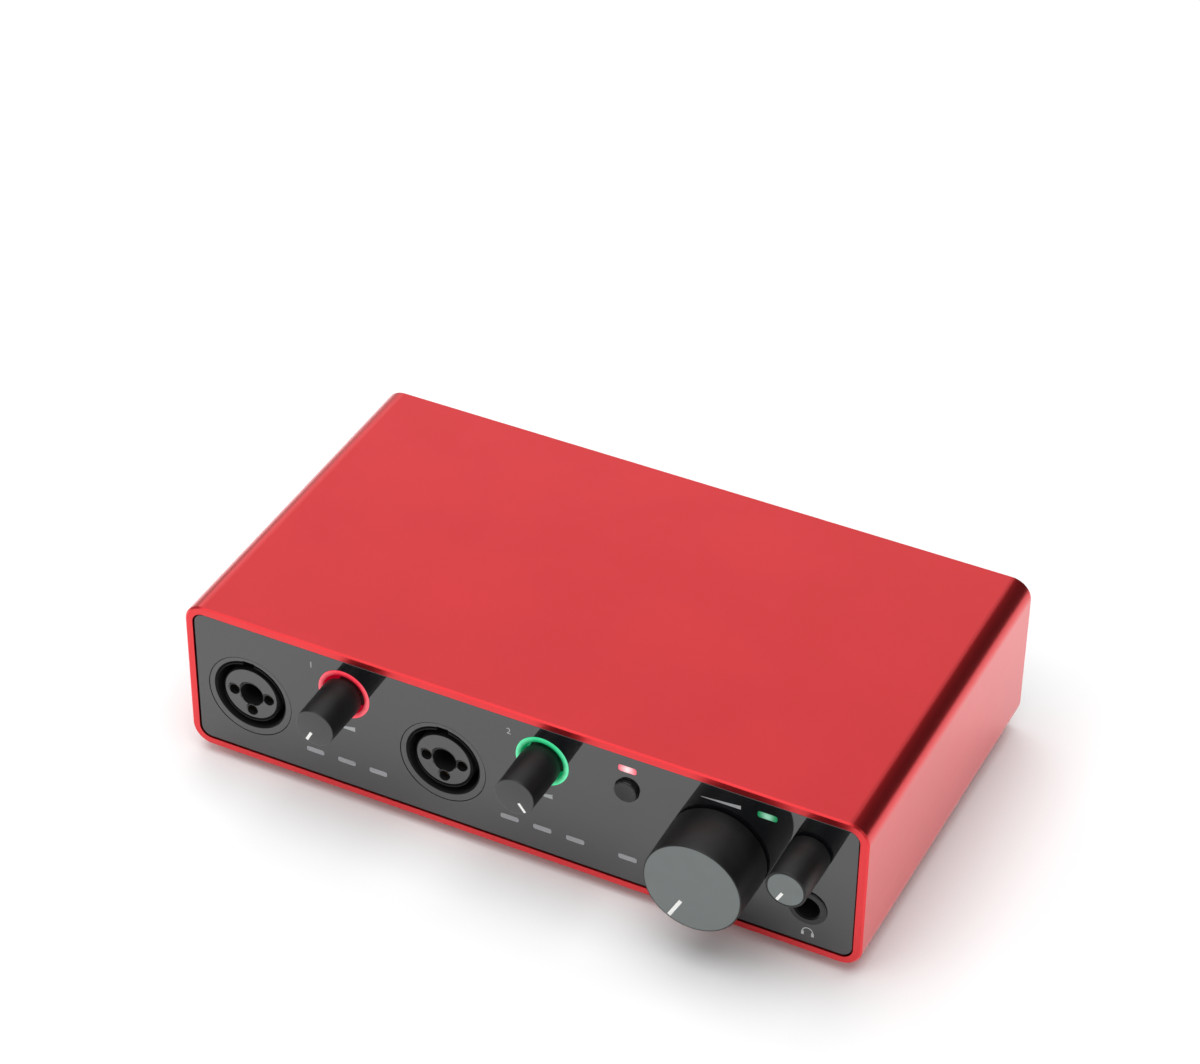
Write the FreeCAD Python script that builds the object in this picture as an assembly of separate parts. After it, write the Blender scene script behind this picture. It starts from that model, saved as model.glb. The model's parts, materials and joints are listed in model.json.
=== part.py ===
import FreeCAD, Part
import math
import os

# A desktop audio interface: an extruded aluminium sleeve closed by a glossy front panel and a
# steel rear panel, with two combination input sockets, four knobs, a push button and lit
# windows in front, and the line, digital and computer sockets behind.
#
# Millimetres.  +X is to the right of someone facing the front panel, +Y runs from front to
# rear and +Z is up.  The origin is the middle of the footprint, on the surface it stands on.

Vector = FreeCAD.Vector

# ---------------------------------------------------------------- sleeve and feet
sleeve_width = 185.0
sleeve_height = 44.4
sleeve_depth = 104.0
sleeve_wall = 2.2
corner_radius = 5.5
rim_chamfer = 0.45
foot_height = 3.1
foot_radius = 8.0
foot_inset = 15.0
foot_edge = 0.6

# ---------------------------------------------------------------- clearances
fit_gap = 0.15          # a panel inside the sleeve, a body inside a notch
seat_gap = 0.05         # a piece standing on or against the next one
running_gap = 0.03      # a shaft in its bush
bond = 0.5              # how far ribs and ports run into the sleeve's wall
touching = 1e-6         # closer than this counts as the same place
shortest_side = 0.001   # what is left straight between two corners that almost meet

# ---------------------------------------------------------------- panels, bracket and boards
front_panel_thickness = 2.5
front_panel_recess = 0.3
front_panel_edge = 0.3
bracket_thickness = 1.2
bracket_margin = 0.35
rear_panel_thickness = 1.5
rear_panel_recess = 1.2
board_thickness = 1.6
rib_reach = 2.0
rib_thickness = 1.5

# ---------------------------------------------------------------- screws and their ports
port_inset = 2.6
port_radius = 2.2
screw_radius = 1.25
screw_length = 9.0
screw_head_radius = 2.2
screw_head_height = 1.3
screw_socket_radius = 0.9
screw_socket_depth = 0.8

# ---------------------------------------------------------------- front layout
# heights are above the underside of the sleeve
front_pitch = 27.4
input_x = (-74.8, -74.8 + 2 * front_pitch)
gain_x = (input_x[0] + front_pitch, input_x[1] + front_pitch)
input_height = 20.4
upper_row_height = 31.6
button_x = 30.1
monitor_x = 54.6
monitor_height = 22.5
phones_x = 78.0
phones_jack_height = 13.9
window_row_rise = 1.1
window_pitch = 9.0
window_corner_share = 1 / 3
window_size = (5.0, 1.5)
button_window_height = 37.9
button_window_size = (4.8, 1.9)
link_window_x = 66.6
link_window_height = 37.9
link_window_size = (5.0, 1.8)
lone_window_x = 30.6

# ---------------------------------------------------------------- knobs, shafts and potentiometers
monitor_knob_radius = 12.9
monitor_stand_out = 14.9
monitor_face_radius = 12.45
monitor_pointer = (5.8, 12.1)
monitor_pointer_width = 0.95
small_knob_radius = 5.35
small_stand_out = 14.3
small_face_radius = 4.6
small_pointer = (1.9, 4.8)
small_pointer_width = 0.75
phones_pointer = (1.6, 4.4)
knob_draft = 0.15
knob_gap = 0.35
knob_edge = 0.4
knob_wall = 1.3
knob_front_wall = 1.0
knob_base_recess = 2.0
monitor_knob_edge = 0.3
monitor_front_wall = 2.0
monitor_rib_angles = (45, 135, 225, 315)
face_thickness = 0.8
pointer_depth = 0.4
hub_wall = 2.0
shaft_radius = 3.0
shaft_flat = 1.5
shaft_flat_length = 8.0
shaft_tip_gap = 0.2
bush_wall = 0.5
bush_hole_gap = 0.2
bush_drop = 1.0
pot_width = 9.8
pot_height = 11.0
pot_depth = 6.9
shaft_seat_depth = 5.8
pointer_at_minimum = -152.0
pointer_of_second_gain = 143.0

# ---------------------------------------------------------------- light rings and lamps
halo_outer_radius = 7.1
halo_inner_radius = 5.85
halo_stand_out = 0.2
halo_leg_width = 2.4
halo_leg_inset = 0.15
lamp_size = (1.6, 0.8, 0.8)
lamp_gap = 0.2

# ---------------------------------------------------------------- push button
button_radius = 3.1
button_stand_out = 1.2
button_travel = 0.8
button_flange_radius = 4.0
button_flange_thickness = 0.8
button_gap = 0.2
button_dish_radius = 14.0
button_dish_depth = 0.25
plunger_radius = 1.7
switch_size = 6.2
switch_depth = 3.4
switch_bore_spare = 0.8
plunger_engagement = 0.6
button_shroud_wall = 0.6
button_shroud_gap = 0.2

# ---------------------------------------------------------------- combination input sockets
plug_radius = 3.25
input_collar_radius = 11.75
input_collar_gap = 0.2
input_half_width = 12.6
input_body_depth = 28.0
input_groove = (7.9, 9.75)
input_groove_depth = 14.0
input_face_drop = 0.1
input_core_drop = 0.4
input_bore_depth = 30.0
input_key_half_width = 1.6
input_key_reach = 1.1
input_key_step = 0.8
contact_wall = 0.3
contact_angles = (0, 180, 270)
contact_hole_radius = 1.4
contact_radius = 1.36
contact_socket_radius = 1.2
contact_drop = 2.5
contact_socket_depth = 15.0
contact_tail = 2.5

# ---------------------------------------------------------------- quarter-inch jacks
jack_width = 15.6
jack_axis_rise = 9.8
jack_case_top = 8.8
jack_bush_drop = 0.15
jack_body_depth = 26.0
jack_bush_wall = 1.25
jack_bush_gap = 0.12
jack_bore_depth = 27.0
jack_nut_wall = 1.0
jack_nut_height = 1.8
jack_nut_edge = 0.35
jack_nut_bore_gap = 0.04
phones_body_width = 12.5
phones_ring_stand_out = 0.45
phones_ring_margin = 0.6
phones_ring_mouth = 0.25
phones_ring_edge = 0.25
spring_width = 2.2
spring_offset = 2.0
spring_thickness = 0.4
spring_length = 16.0
spring_slot_gap = 0.1
spring_slot_depth = 0.85
spring_rise = 1.95
phones_spring_rise = 1.25
spring_bump_gap = 0.25
spring_bump_length = 1.2

# ---------------------------------------------------------------- rear layout
jack_pitch = 16.5
line_output_x = tuple(-39.5 + jack_pitch * step for step in range(4))
line_input_x = (-75.5, -75.5 + jack_pitch)
din_x = (30.0, 52.0)
usb_x = 73.0
lock_slot_x = 82.0
lock_slot_height = 31.0
lock_slot_size = (7.0, 3.0)
lock_slot_radius = 0.8
lock_cup_room = (11.0, 8.0)
lock_cup_radius = 1.5
lock_cup_depth = 5.0
lock_cup_wall = 0.9

# ---------------------------------------------------------------- five-pole sockets
din_width = 20.0
din_height = 19.4
din_depth = 12.0
din_boss_radius = 8.8
din_boss_gap = 0.2
din_stand_out = 0.3
din_groove = (5.9, 6.9)
din_groove_depth = 8.0
din_key_half_width = 1.1
din_key_depth = 1.0
din_pole_circle = 3.75
din_pole_hole = 0.9
din_pole_radius = 0.85
din_pole_drop = 5.0
din_pole_tail = 2.5
din_pole_angles = (180, 225, 270, 315, 360)

# ---------------------------------------------------------------- computer socket
usb_width = 8.94
usb_height = 3.26
usb_shell = 0.35
usb_length = 9.0
usb_mouth_drop = 0.3
usb_slot_gap = 0.3
usb_tongue_size = (6.7, 0.7)
usb_tongue_edge = 0.2
usb_tongue_drop = 0.9
usb_base_length = 2.0

# ---------------------------------------------------------------- parts on the main board
tall_capacitor = (4.0, 10.0)
small_capacitor = (2.6, 6.5)
capacitor_groove = (0.6, 0.25)
capacitor_row_gap = 6.0
capacitor_offset = 3.2
tall_capacitor_pitch = 10.0
tall_capacitor_count = 3
supply_row_gap = 10.0
chip_height = 1.0
chip_row_gap = 14.0
chip_places = ((-60.0, 9.0, 6.0), (-40.0, 9.0, 6.0), (-20.0, 7.0, 5.0), (0.0, 14.0, 14.0), (19.0, 9.0, 6.0))
shield_size = (26.0, 20.0, 4.5)
shield_wall = 0.3
shield_gap = 3.0
header_size = (22.0, 3.0, 2.6)
choke_size = (8.0, 8.0, 4.0)
choke_x = (62.0, 74.0)
choke_row_gap = 6.0
front_board_margin = 1.0

# ---------------------------------------------------------------- places worked out from the sizes
bush_radius = shaft_radius + bush_wall
hub_radius = shaft_radius + hub_wall
jack_bush_radius = plug_radius + jack_bush_wall
jack_nut_flats = 2 * (jack_bush_radius + jack_nut_wall)
spring_slot_start = plug_radius - spring_slot_depth
spring_bump_start = plug_radius + spring_bump_gap
spring_reach = plug_radius + spring_rise
phones_spring_reach = plug_radius + phones_spring_rise
contact_circle_radius = plug_radius + contact_wall + contact_hole_radius

overall_depth = monitor_stand_out + sleeve_depth + jack_nut_height - rear_panel_recess
sleeve_front = monitor_stand_out - overall_depth / 2
sleeve_rear = sleeve_front + sleeve_depth
middle_z = foot_height + sleeve_height / 2
inner_width = sleeve_width - 2 * sleeve_wall
inner_height = sleeve_height - 2 * sleeve_wall
inner_radius = corner_radius - sleeve_wall
inner_bottom = foot_height + sleeve_wall
inner_top = inner_bottom + inner_height

front_panel_face = sleeve_front + front_panel_recess
front_panel_back = front_panel_face + front_panel_thickness
bracket_back = front_panel_back + bracket_thickness
front_board_face = bracket_back + pot_depth
front_board_back = front_board_face + board_thickness
rear_panel_face = sleeve_rear - rear_panel_recess
rear_panel_inside = rear_panel_face - rear_panel_thickness

port_x = inner_width / 2 - port_inset
port_z = (inner_bottom + port_inset, inner_top - port_inset)
screw_places = [(side * port_x, z) for side in (-1, 1) for z in port_z]
board_bottom = port_z[0] + port_radius + seat_gap
board_top = board_bottom + board_thickness
jack_axis_z = board_top + jack_axis_rise
input_z = foot_height + input_height
upper_row_z = foot_height + upper_row_height
monitor_z = foot_height + monitor_height
phones_jack_z = foot_height + phones_jack_height
window_row_z = board_top + window_row_rise
lamp_front = front_board_face - lamp_size[1]
window_back = lamp_front - lamp_gap
switch_bore_depth = plunger_engagement + button_travel + switch_bore_spare
button_shroud_bore = max(switch_size / math.sqrt(2), button_flange_radius) + button_shroud_gap

window_places = [
    (x + step * window_pitch, window_row_z) for x in gain_x for step in (-1, 0, 1)
] + [(lone_window_x, window_row_z)]
button_window_place = (button_x, foot_height + button_window_height)
link_window_place = (link_window_x, foot_height + link_window_height)
halo_lamp_offset = (halo_inner_radius + halo_outer_radius) / 2

jack_back = rear_panel_inside - seat_gap - jack_body_depth
din_front = rear_panel_inside - seat_gap
din_back = din_front - din_depth
din_mouth = rear_panel_face + din_stand_out
capacitor_row_y = jack_back - capacitor_row_gap
chip_row_y = capacitor_row_y - chip_row_gap
supply_row_y = rear_panel_inside - din_depth - supply_row_gap
choke_row_y = supply_row_y - tall_capacitor[0] - choke_row_gap - choke_size[1]
shield_y = supply_row_y - tall_capacitor[0] - shield_gap - shield_size[1]


# ---------------------------------------------------------------- shapes that are used again
def block(x, y, z):
    """A box between the (low, high) pairs x, y and z."""
    size = [high - low for low, high in (x, y, z)]
    return Part.makeBox(size[0], size[1], size[2], Vector(x[0], y[0], z[0]))


def rod(x, z, radius, y_from, y_to):
    """A cylinder along Y."""
    return Part.makeCylinder(radius, y_to - y_from, Vector(x, y_from, z), Vector(0, 1, 0))


def cone(x, z, radius_from, radius_to, y_from, y_to):
    """A cone frustum along Y."""
    return Part.makeCone(
        radius_from, radius_to, y_to - y_from, Vector(x, y_from, z), Vector(0, 1, 0)
    )


def ring(x, z, outer, inner, y_from, y_to):
    """A tube along Y."""
    return rod(x, z, outer, y_from, y_to).cut(rod(x, z, inner, y_from, y_to))


def slab(width, height, radius, y_from, y_to, x=0.0, z=0.0):
    """A rounded rectangle about (x, z), extruded along Y."""
    half_w = width / 2
    half_h = height / 2
    radius = min(radius, half_w - shortest_side, half_h - shortest_side)
    edges = []
    corners = ((1, 1), (-1, 1), (-1, -1), (1, -1))
    for number, (side, up) in enumerate(corners):
        centre = Vector(x + side * (half_w - radius), y_from, z + up * (half_h - radius))
        start = math.radians(90 * number)
        points = [
            centre + Vector(radius * math.cos(start + turn), 0, radius * math.sin(start + turn))
            for turn in (0, math.pi / 4, math.pi / 2)
        ]
        edges.append(Part.Arc(*points).toShape())
    for number in range(4):
        end = edges[number].Vertexes[-1].Point
        begin = edges[(number + 1) % 4].Vertexes[0].Point
        edges.append(Part.LineSegment(end, begin).toShape())
    outline = Part.Wire(Part.__sortEdges__(edges))
    return Part.Face(outline).extrude(Vector(0, y_to - y_from, 0))


def inside_slab(margin, y_from, y_to):
    """A plate that fills the sleeve's opening, less a margin all round."""
    return slab(
        inner_width - 2 * margin,
        inner_height - 2 * margin,
        inner_radius - margin,
        y_from,
        y_to,
        z=middle_z,
    )


def edges_at(shape, y):
    """The edges that lie in the plane at y."""
    return [
        edge for edge in shape.Edges
        if abs(edge.BoundBox.YMin - y) < touching and abs(edge.BoundBox.YMax - y) < touching
    ]


def d_profile(x, z, radius, flat, y_from, y_to):
    """A rod with a flat on top, as on a potentiometer's shaft."""
    side = radius + 1.0
    waste = block((x - side, x + side), (y_from, y_to), (z + flat, z + side))
    return rod(x, z, radius, y_from, y_to).cut(waste)


def turned(shape, x, z, angle):
    """Turns a shape drawn pointing up by an angle clockwise, as the user sees it."""
    copy = shape.copy()
    copy.rotate(Vector(x, 0, z), Vector(0, 1, 0), angle)
    return copy


def hexagon(x, z, flats, y_from, y_to):
    """A hexagonal prism along Y."""
    corner = flats / math.sqrt(3)
    points = [
        Vector(
            x + corner * math.cos(math.radians(60 * step)),
            y_from,
            z + corner * math.sin(math.radians(60 * step)),
        )
        for step in range(7)
    ]
    return Part.Face(Part.makePolygon(points)).extrude(Vector(0, y_to - y_from, 0))


# ---------------------------------------------------------------- casing
def sleeve():
    """The extrusion: a rounded tube with a screw port in each corner and a rib over the board."""
    outer = slab(
        sleeve_width, sleeve_height, corner_radius, sleeve_front, sleeve_rear, z=middle_z
    )
    rims = edges_at(outer, sleeve_front) + edges_at(outer, sleeve_rear)
    outer = outer.makeChamfer(rim_chamfer, rims)
    shell = outer.cut(inside_slab(0, sleeve_front, sleeve_rear))
    span = (bracket_back + seat_gap, rear_panel_inside - seat_gap)
    inside = []
    for side in (-1, 1):
        wall = side * (inner_width / 2 + bond)
        for z, wall_z in zip(port_z, (inner_bottom - bond, inner_top + bond)):
            x = side * port_x
            inside.append(rod(x, z, port_radius, *span))
            inside.append(
                block((x - port_radius, x + port_radius), span, sorted((z, wall_z)))
            )
            inside.append(
                block(sorted((x, wall)), span, (z - port_radius, z + port_radius))
            )
            inside.append(block(sorted((x, wall)), span, sorted((z, wall_z))))
        rib = sorted((side * (inner_width / 2 - rib_reach), wall))
        inside.append(block(rib, span, (board_top + fit_gap, board_top + fit_gap + rib_thickness)))
    shell = shell.fuse(inside).removeSplitter()
    holes = [rod(x, z, screw_radius + seat_gap, *span) for x, z in screw_places]
    return shell.cut(holes)


def front_panel():
    """The glossy moulding that everything in front shows through."""
    plate = inside_slab(fit_gap, front_panel_face, front_panel_back)
    plate = plate.makeChamfer(front_panel_edge, edges_at(plate, front_panel_face))
    span = (front_panel_face, front_panel_back)
    cuts = [rod(x, input_z, input_collar_radius + input_collar_gap, *span) for x in input_x]
    cuts += [rod(x, upper_row_z, halo_outer_radius + seat_gap, *span) for x in gain_x]
    cuts.append(rod(button_x, upper_row_z, button_radius + button_gap, *span))
    cuts.append(rod(monitor_x, monitor_z, bush_radius + bush_hole_gap, *span))
    cuts.append(rod(phones_x, upper_row_z, bush_radius + bush_hole_gap, *span))
    cuts.append(rod(phones_x, phones_jack_z, jack_bush_radius + jack_bush_gap, *span))
    for place, size in all_windows():
        cuts.append(window(place, size, seat_gap, *span))
    pocket = front_panel_back - screw_head_height - fit_gap
    for x, z in screw_places:
        cuts.append(rod(x, z, screw_head_radius + fit_gap, pocket, front_panel_back))
    return plate.cut(cuts)


def button_shroud():
    """The tube from the bracket to the front board that keeps dust from the button's hole out."""
    return ring(
        button_x,
        upper_row_z,
        button_shroud_bore + button_shroud_wall,
        button_shroud_bore,
        front_panel_back,
        front_board_face - seat_gap,
    )


def front_bracket():
    """The steel plate behind the front panel, screwed to the ports, that carries the front board."""
    plate = inside_slab(bracket_margin, front_panel_back, bracket_back)
    plate = plate.fuse(button_shroud()).removeSplitter()
    span = (front_panel_back, bracket_back)
    clear = input_collar_gap + fit_gap
    cuts = [rod(x, input_z, input_collar_radius + clear, *span) for x in input_x]
    cuts += [rod(x, upper_row_z, halo_outer_radius + fit_gap, *span) for x in gain_x]
    cuts.append(rod(button_x, upper_row_z, button_flange_radius + button_gap, *span))
    cuts.append(rod(monitor_x, monitor_z, bush_radius + bush_hole_gap, *span))
    cuts.append(rod(phones_x, upper_row_z, bush_radius + bush_hole_gap, *span))
    cuts.append(rod(phones_x, phones_jack_z, jack_bush_radius + jack_bush_gap, *span))
    for place, size in all_windows():
        cuts.append(window(place, size, fit_gap, *span))
    cuts += [rod(x, z, screw_radius + fit_gap, *span) for x, z in screw_places]
    return plate.cut(cuts)


def lock_cup():
    """The pressed cup behind the lock slot, which keeps a lock's head off the boards."""
    place = {"x": lock_slot_x, "z": foot_height + lock_slot_height}
    width, height = lock_cup_room
    bottom = rear_panel_inside - lock_cup_depth
    room = slab(width, height, lock_cup_radius, bottom, rear_panel_inside, **place)
    cup = slab(
        width + 2 * lock_cup_wall,
        height + 2 * lock_cup_wall,
        lock_cup_radius + lock_cup_wall,
        bottom - lock_cup_wall,
        rear_panel_inside,
        **place,
    )
    return cup.cut(room)


def rear_panel():
    """The steel plate that closes the rear and holds the sockets' bushes."""
    plate = inside_slab(fit_gap, rear_panel_inside, rear_panel_face)
    plate = plate.fuse(lock_cup()).removeSplitter()
    span = (rear_panel_inside, rear_panel_face)
    cuts = [
        rod(x, jack_axis_z, jack_bush_radius + jack_bush_gap, *span)
        for x in line_output_x + line_input_x
    ]
    cuts += [rod(x, jack_axis_z, din_boss_radius + din_boss_gap, *span) for x in din_x]
    cuts.append(
        slab(
            usb_width + 2 * usb_slot_gap,
            usb_height + 2 * usb_slot_gap,
            usb_height / 2 + usb_slot_gap,
            *span,
            x=usb_x,
            z=board_top + usb_height / 2,
        )
    )
    cuts.append(
        slab(
            *lock_slot_size,
            lock_slot_radius,
            *span,
            x=lock_slot_x,
            z=foot_height + lock_slot_height,
        )
    )
    sink = rear_panel_face - screw_head_height
    for x, z in screw_places:
        cuts.append(rod(x, z, screw_radius + fit_gap, *span))
        cuts.append(
            cone(
                x,
                z,
                screw_radius + seat_gap,
                screw_head_radius + seat_gap,
                sink,
                rear_panel_face,
            )
        )
    return plate.cut(cuts)


def feet():
    """Four round rubber feet under the sleeve."""
    solids = []
    for side in (-1, 1):
        for y in (sleeve_front + foot_inset, sleeve_rear - foot_inset):
            place = Vector(side * (sleeve_width / 2 - foot_inset), y, 0)
            foot = Part.makeCylinder(foot_radius, foot_height, place)
            low = [edge for edge in foot.Edges if edge.BoundBox.ZMax < touching]
            solids.append(foot.makeFillet(foot_edge, low))
    return solids


# ---------------------------------------------------------------- screws
def bracket_screws():
    """Pan-head screws through the bracket into the front of the ports."""
    solids = []
    for x, z in screw_places:
        shank = rod(x, z, screw_radius, front_panel_back, front_panel_back + screw_length)
        head = rod(x, z, screw_head_radius, front_panel_back - screw_head_height, front_panel_back)
        socket = hexagon(
            x,
            z,
            2 * screw_socket_radius,
            front_panel_back - screw_head_height,
            front_panel_back - screw_head_height + screw_socket_depth,
        )
        solids.append(shank.fuse(head).removeSplitter().cut(socket))
    return solids


def rear_screws():
    """Countersunk screws through the rear panel into the rear of the ports."""
    solids = []
    for x, z in screw_places:
        sink = rear_panel_face - screw_head_height
        shank = rod(x, z, screw_radius, rear_panel_face - screw_length, sink)
        head = cone(x, z, screw_radius, screw_head_radius, sink, rear_panel_face)
        socket = hexagon(
            x,
            z,
            2 * screw_socket_radius,
            rear_panel_face - screw_socket_depth,
            rear_panel_face,
        )
        solids.append(shank.fuse(head).removeSplitter().cut(socket))
    return solids


# ---------------------------------------------------------------- windows, rings and lamps
def window(place, size, margin, y_from, y_to):
    """A rounded window's block, grown by a margin."""
    width = size[0] + 2 * margin
    height = size[1] + 2 * margin
    corner = height * window_corner_share
    return slab(width, height, corner, y_from, y_to, x=place[0], z=place[1])


def all_windows():
    """Every window's place and size."""
    found = [(place, window_size) for place in window_places]
    found.append((button_window_place, button_window_size))
    found.append((link_window_place, link_window_size))
    return found


def light_pipe(place, size):
    """A clear block from the panel's face to just short of its lamp."""
    return window(place, size, 0.0, front_panel_face, window_back)


def halo(x):
    """The ring of light round a gain knob, with two legs that bring the light from the board."""
    solid = ring(
        x,
        upper_row_z,
        halo_outer_radius,
        halo_inner_radius,
        front_panel_face - halo_stand_out,
        bracket_back - seat_gap,
    )
    low = upper_row_z - halo_leg_width / 2
    legs = []
    for side in (-1, 1):
        near = x + side * (halo_inner_radius + halo_leg_inset)
        far = x + side * (halo_outer_radius - halo_leg_inset)
        wide = sorted((near, far))
        legs.append(block(wide, (front_panel_back, window_back), (low, low + halo_leg_width)))
    return solid.fuse(legs).removeSplitter()


def lamps():
    """The lamps on the front board, one behind each window and halo leg."""
    places = [place for place, size in all_windows()]
    for x in gain_x:
        places += [(x - halo_lamp_offset, upper_row_z), (x + halo_lamp_offset, upper_row_z)]
    half_w = lamp_size[0] / 2
    half_h = lamp_size[2] / 2
    return [
        block((x - half_w, x + half_w), (lamp_front, front_board_face), (z - half_h, z + half_h))
        for x, z in places
    ]


# ---------------------------------------------------------------- knobs
def pointer_bar(x, z, reach, width, y_face, angle):
    """The straight bar that fills a pointer's slot."""
    bar = block(
        (x - width / 2, x + width / 2), (y_face, y_face + pointer_depth), (z + reach[0], z + reach[1])
    )
    return turned(bar, x, z, angle)


def knob_bore(x, z, y_face):
    """The bore that the shaft fills: D-shaped up to the end of the shaft's flat, then round."""
    radius = shaft_radius + running_gap / 2
    floor = y_face + face_thickness + knob_front_wall
    flat_end = floor + shaft_tip_gap + shaft_flat_length - seat_gap
    grip = d_profile(x, z, radius, shaft_flat + running_gap / 2, floor, flat_end)
    return grip.fuse(rod(x, z, radius, flat_end, sleeve_front - knob_gap))


def shaft(x, z, y_face):
    """A potentiometer's shaft, round in its bush and flatted inside the knob."""
    tip = y_face + face_thickness + knob_front_wall + shaft_tip_gap
    flat_end = tip + shaft_flat_length
    tail = rod(x, z, shaft_radius, flat_end, bracket_back + shaft_seat_depth - seat_gap)
    return d_profile(x, z, shaft_radius, shaft_flat, tip, flat_end).fuse(tail).removeSplitter()


def small_knob(x, z, angle, face_recess):
    """A tapered knob. With a face recess its front takes a separate disc."""
    y_face = sleeve_front - small_stand_out
    y_base = sleeve_front - knob_gap
    body = cone(x, z, small_knob_radius - knob_draft, small_knob_radius, y_face, y_base)
    body = body.makeFillet(knob_edge, edges_at(body, y_face)[:1])
    cuts = [
        knob_bore(x, z, y_face),
        rod(x, z, small_knob_radius - knob_wall, y_base - knob_base_recess, y_base),
    ]
    if face_recess:
        cuts.append(rod(x, z, small_face_radius, y_face, y_face + face_thickness))
    else:
        cuts.append(pointer_bar(x, z, small_pointer, small_pointer_width, y_face, angle))
    return body.cut(cuts)


def phones_face(angle):
    """The grey disc in the front of the headphone knob."""
    y_face = sleeve_front - small_stand_out
    disc = rod(phones_x, upper_row_z, small_face_radius, y_face, y_face + face_thickness)
    return disc.cut(phones_pointer_bar(angle))


def phones_pointer_bar(angle):
    """The white bar in the headphone knob's disc."""
    y_face = sleeve_front - small_stand_out
    return pointer_bar(
        phones_x, upper_row_z, phones_pointer, small_pointer_width, y_face, angle
    )


def gain_pointer(x, angle):
    """The white bar let into a gain knob's front."""
    y_face = sleeve_front - small_stand_out
    return pointer_bar(x, upper_row_z, small_pointer, small_pointer_width, y_face, angle)


def monitor_knob():
    """The large knob: a hollow shell on a ribbed hub."""
    y_face = sleeve_front - monitor_stand_out
    y_base = sleeve_front - knob_gap
    x = monitor_x
    z = monitor_z
    body = cone(x, z, monitor_knob_radius - knob_draft, monitor_knob_radius, y_face, y_base)
    body = body.makeFillet(monitor_knob_edge, edges_at(body, y_face)[:1])
    cavity_front = y_face + face_thickness + monitor_front_wall
    cavity = ring(
        x, z, monitor_knob_radius - knob_draft - knob_wall, hub_radius, cavity_front, y_base
    )
    rib_end = y_base - knob_base_recess
    for angle in monitor_rib_angles:
        rib = block(
            (x - knob_wall / 2, x + knob_wall / 2),
            (cavity_front, rib_end),
            (z + hub_radius - bond, z + monitor_knob_radius),
        )
        cavity = cavity.cut(turned(rib, x, z, angle))
    cuts = [
        cavity,
        knob_bore(x, z, y_face),
        rod(x, z, monitor_face_radius, y_face, y_face + face_thickness),
    ]
    return body.cut(cuts)


def monitor_face(angle):
    """The grey disc in the front of the large knob."""
    y_face = sleeve_front - monitor_stand_out
    disc = rod(monitor_x, monitor_z, monitor_face_radius, y_face, y_face + face_thickness)
    return disc.cut(monitor_pointer_bar(angle))


def monitor_pointer_bar(angle):
    """The white bar in the large knob's disc."""
    y_face = sleeve_front - monitor_stand_out
    return pointer_bar(
        monitor_x, monitor_z, monitor_pointer, monitor_pointer_width, y_face, angle
    )


def potentiometer(x, z):
    """The fixed half of a potentiometer: its case, on the front board, and its bush."""
    case = block(
        (x - pot_width / 2, x + pot_width / 2),
        (bracket_back + seat_gap, front_board_face),
        (z - pot_height / 2, z + pot_height / 2),
    )
    bush = rod(x, z, bush_radius, front_panel_face + bush_drop, bracket_back + bond)
    bore = rod(
        x, z, shaft_radius + running_gap, front_panel_face, bracket_back + shaft_seat_depth
    )
    return case.fuse(bush).removeSplitter().cut(bore)


# ---------------------------------------------------------------- push button
def button_cap():
    """The round cap, dished in front, with a flange behind the panel that keeps it in."""
    face = front_panel_face - button_stand_out
    seat = front_panel_back + seat_gap
    cap = rod(button_x, upper_row_z, button_radius, face, seat)
    cap = cap.makeFillet(knob_edge, edges_at(cap, face)[:1])
    flange = rod(
        button_x, upper_row_z, button_flange_radius, seat, seat + button_flange_thickness
    )
    dish = Part.makeSphere(
        button_dish_radius,
        Vector(button_x, face + button_dish_depth - button_dish_radius, upper_row_z),
    )
    return cap.fuse(flange).removeSplitter().cut(dish)


def button_plunger():
    """The stem between the cap and the switch."""
    back = front_panel_back + seat_gap + button_flange_thickness
    end = front_board_face - switch_depth + plunger_engagement
    return rod(button_x, upper_row_z, plunger_radius, back, end)


def button_switch():
    """The switch on the front board that the stem presses."""
    front = front_board_face - switch_depth
    half = switch_size / 2
    case = block(
        (button_x - half, button_x + half),
        (front, front_board_face),
        (upper_row_z - half, upper_row_z + half),
    )
    bore = rod(
        button_x, upper_row_z, plunger_radius + 2 * running_gap, front, front + switch_bore_depth
    )
    return case.cut(bore)


# ---------------------------------------------------------------- combination input sockets
def pole_places(x, z):
    """The three contacts of a balanced input: left, right and below the middle."""
    return [
        (
            x + contact_circle_radius * math.cos(math.radians(angle)),
            z + contact_circle_radius * math.sin(math.radians(angle)),
        )
        for angle in contact_angles
    ]


def input_housing(x):
    """A socket for a three-pole plug's shell in a round groove, or a quarter-inch plug in the middle."""
    face = front_panel_face + input_face_drop
    body_front = bracket_back + seat_gap
    body_back = body_front + input_body_depth
    z = input_z
    collar = rod(x, z, input_collar_radius, face, body_front + bond)
    body = block(
        (x - input_half_width, x + input_half_width),
        (body_front, body_back),
        (board_top, z + input_half_width),
    )
    housing = collar.fuse(body).removeSplitter()
    groove = ring(x, z, input_groove[1], input_groove[0], face, face + input_groove_depth)
    key = block(
        (x - input_key_half_width, x + input_key_half_width),
        (face, face + input_groove_depth),
        (z + input_groove[0] + input_key_step, z + input_groove[1] + input_key_reach),
    )
    core_face = rod(x, z, input_groove[0], face, face + input_core_drop)
    bore = rod(x, z, plug_radius, face, face + input_bore_depth)
    holes = [
        rod(px, pz, contact_hole_radius, face, body_back) for px, pz in pole_places(x, z)
    ]
    return housing.cut([groove, key, core_face, bore] + holes)


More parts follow.
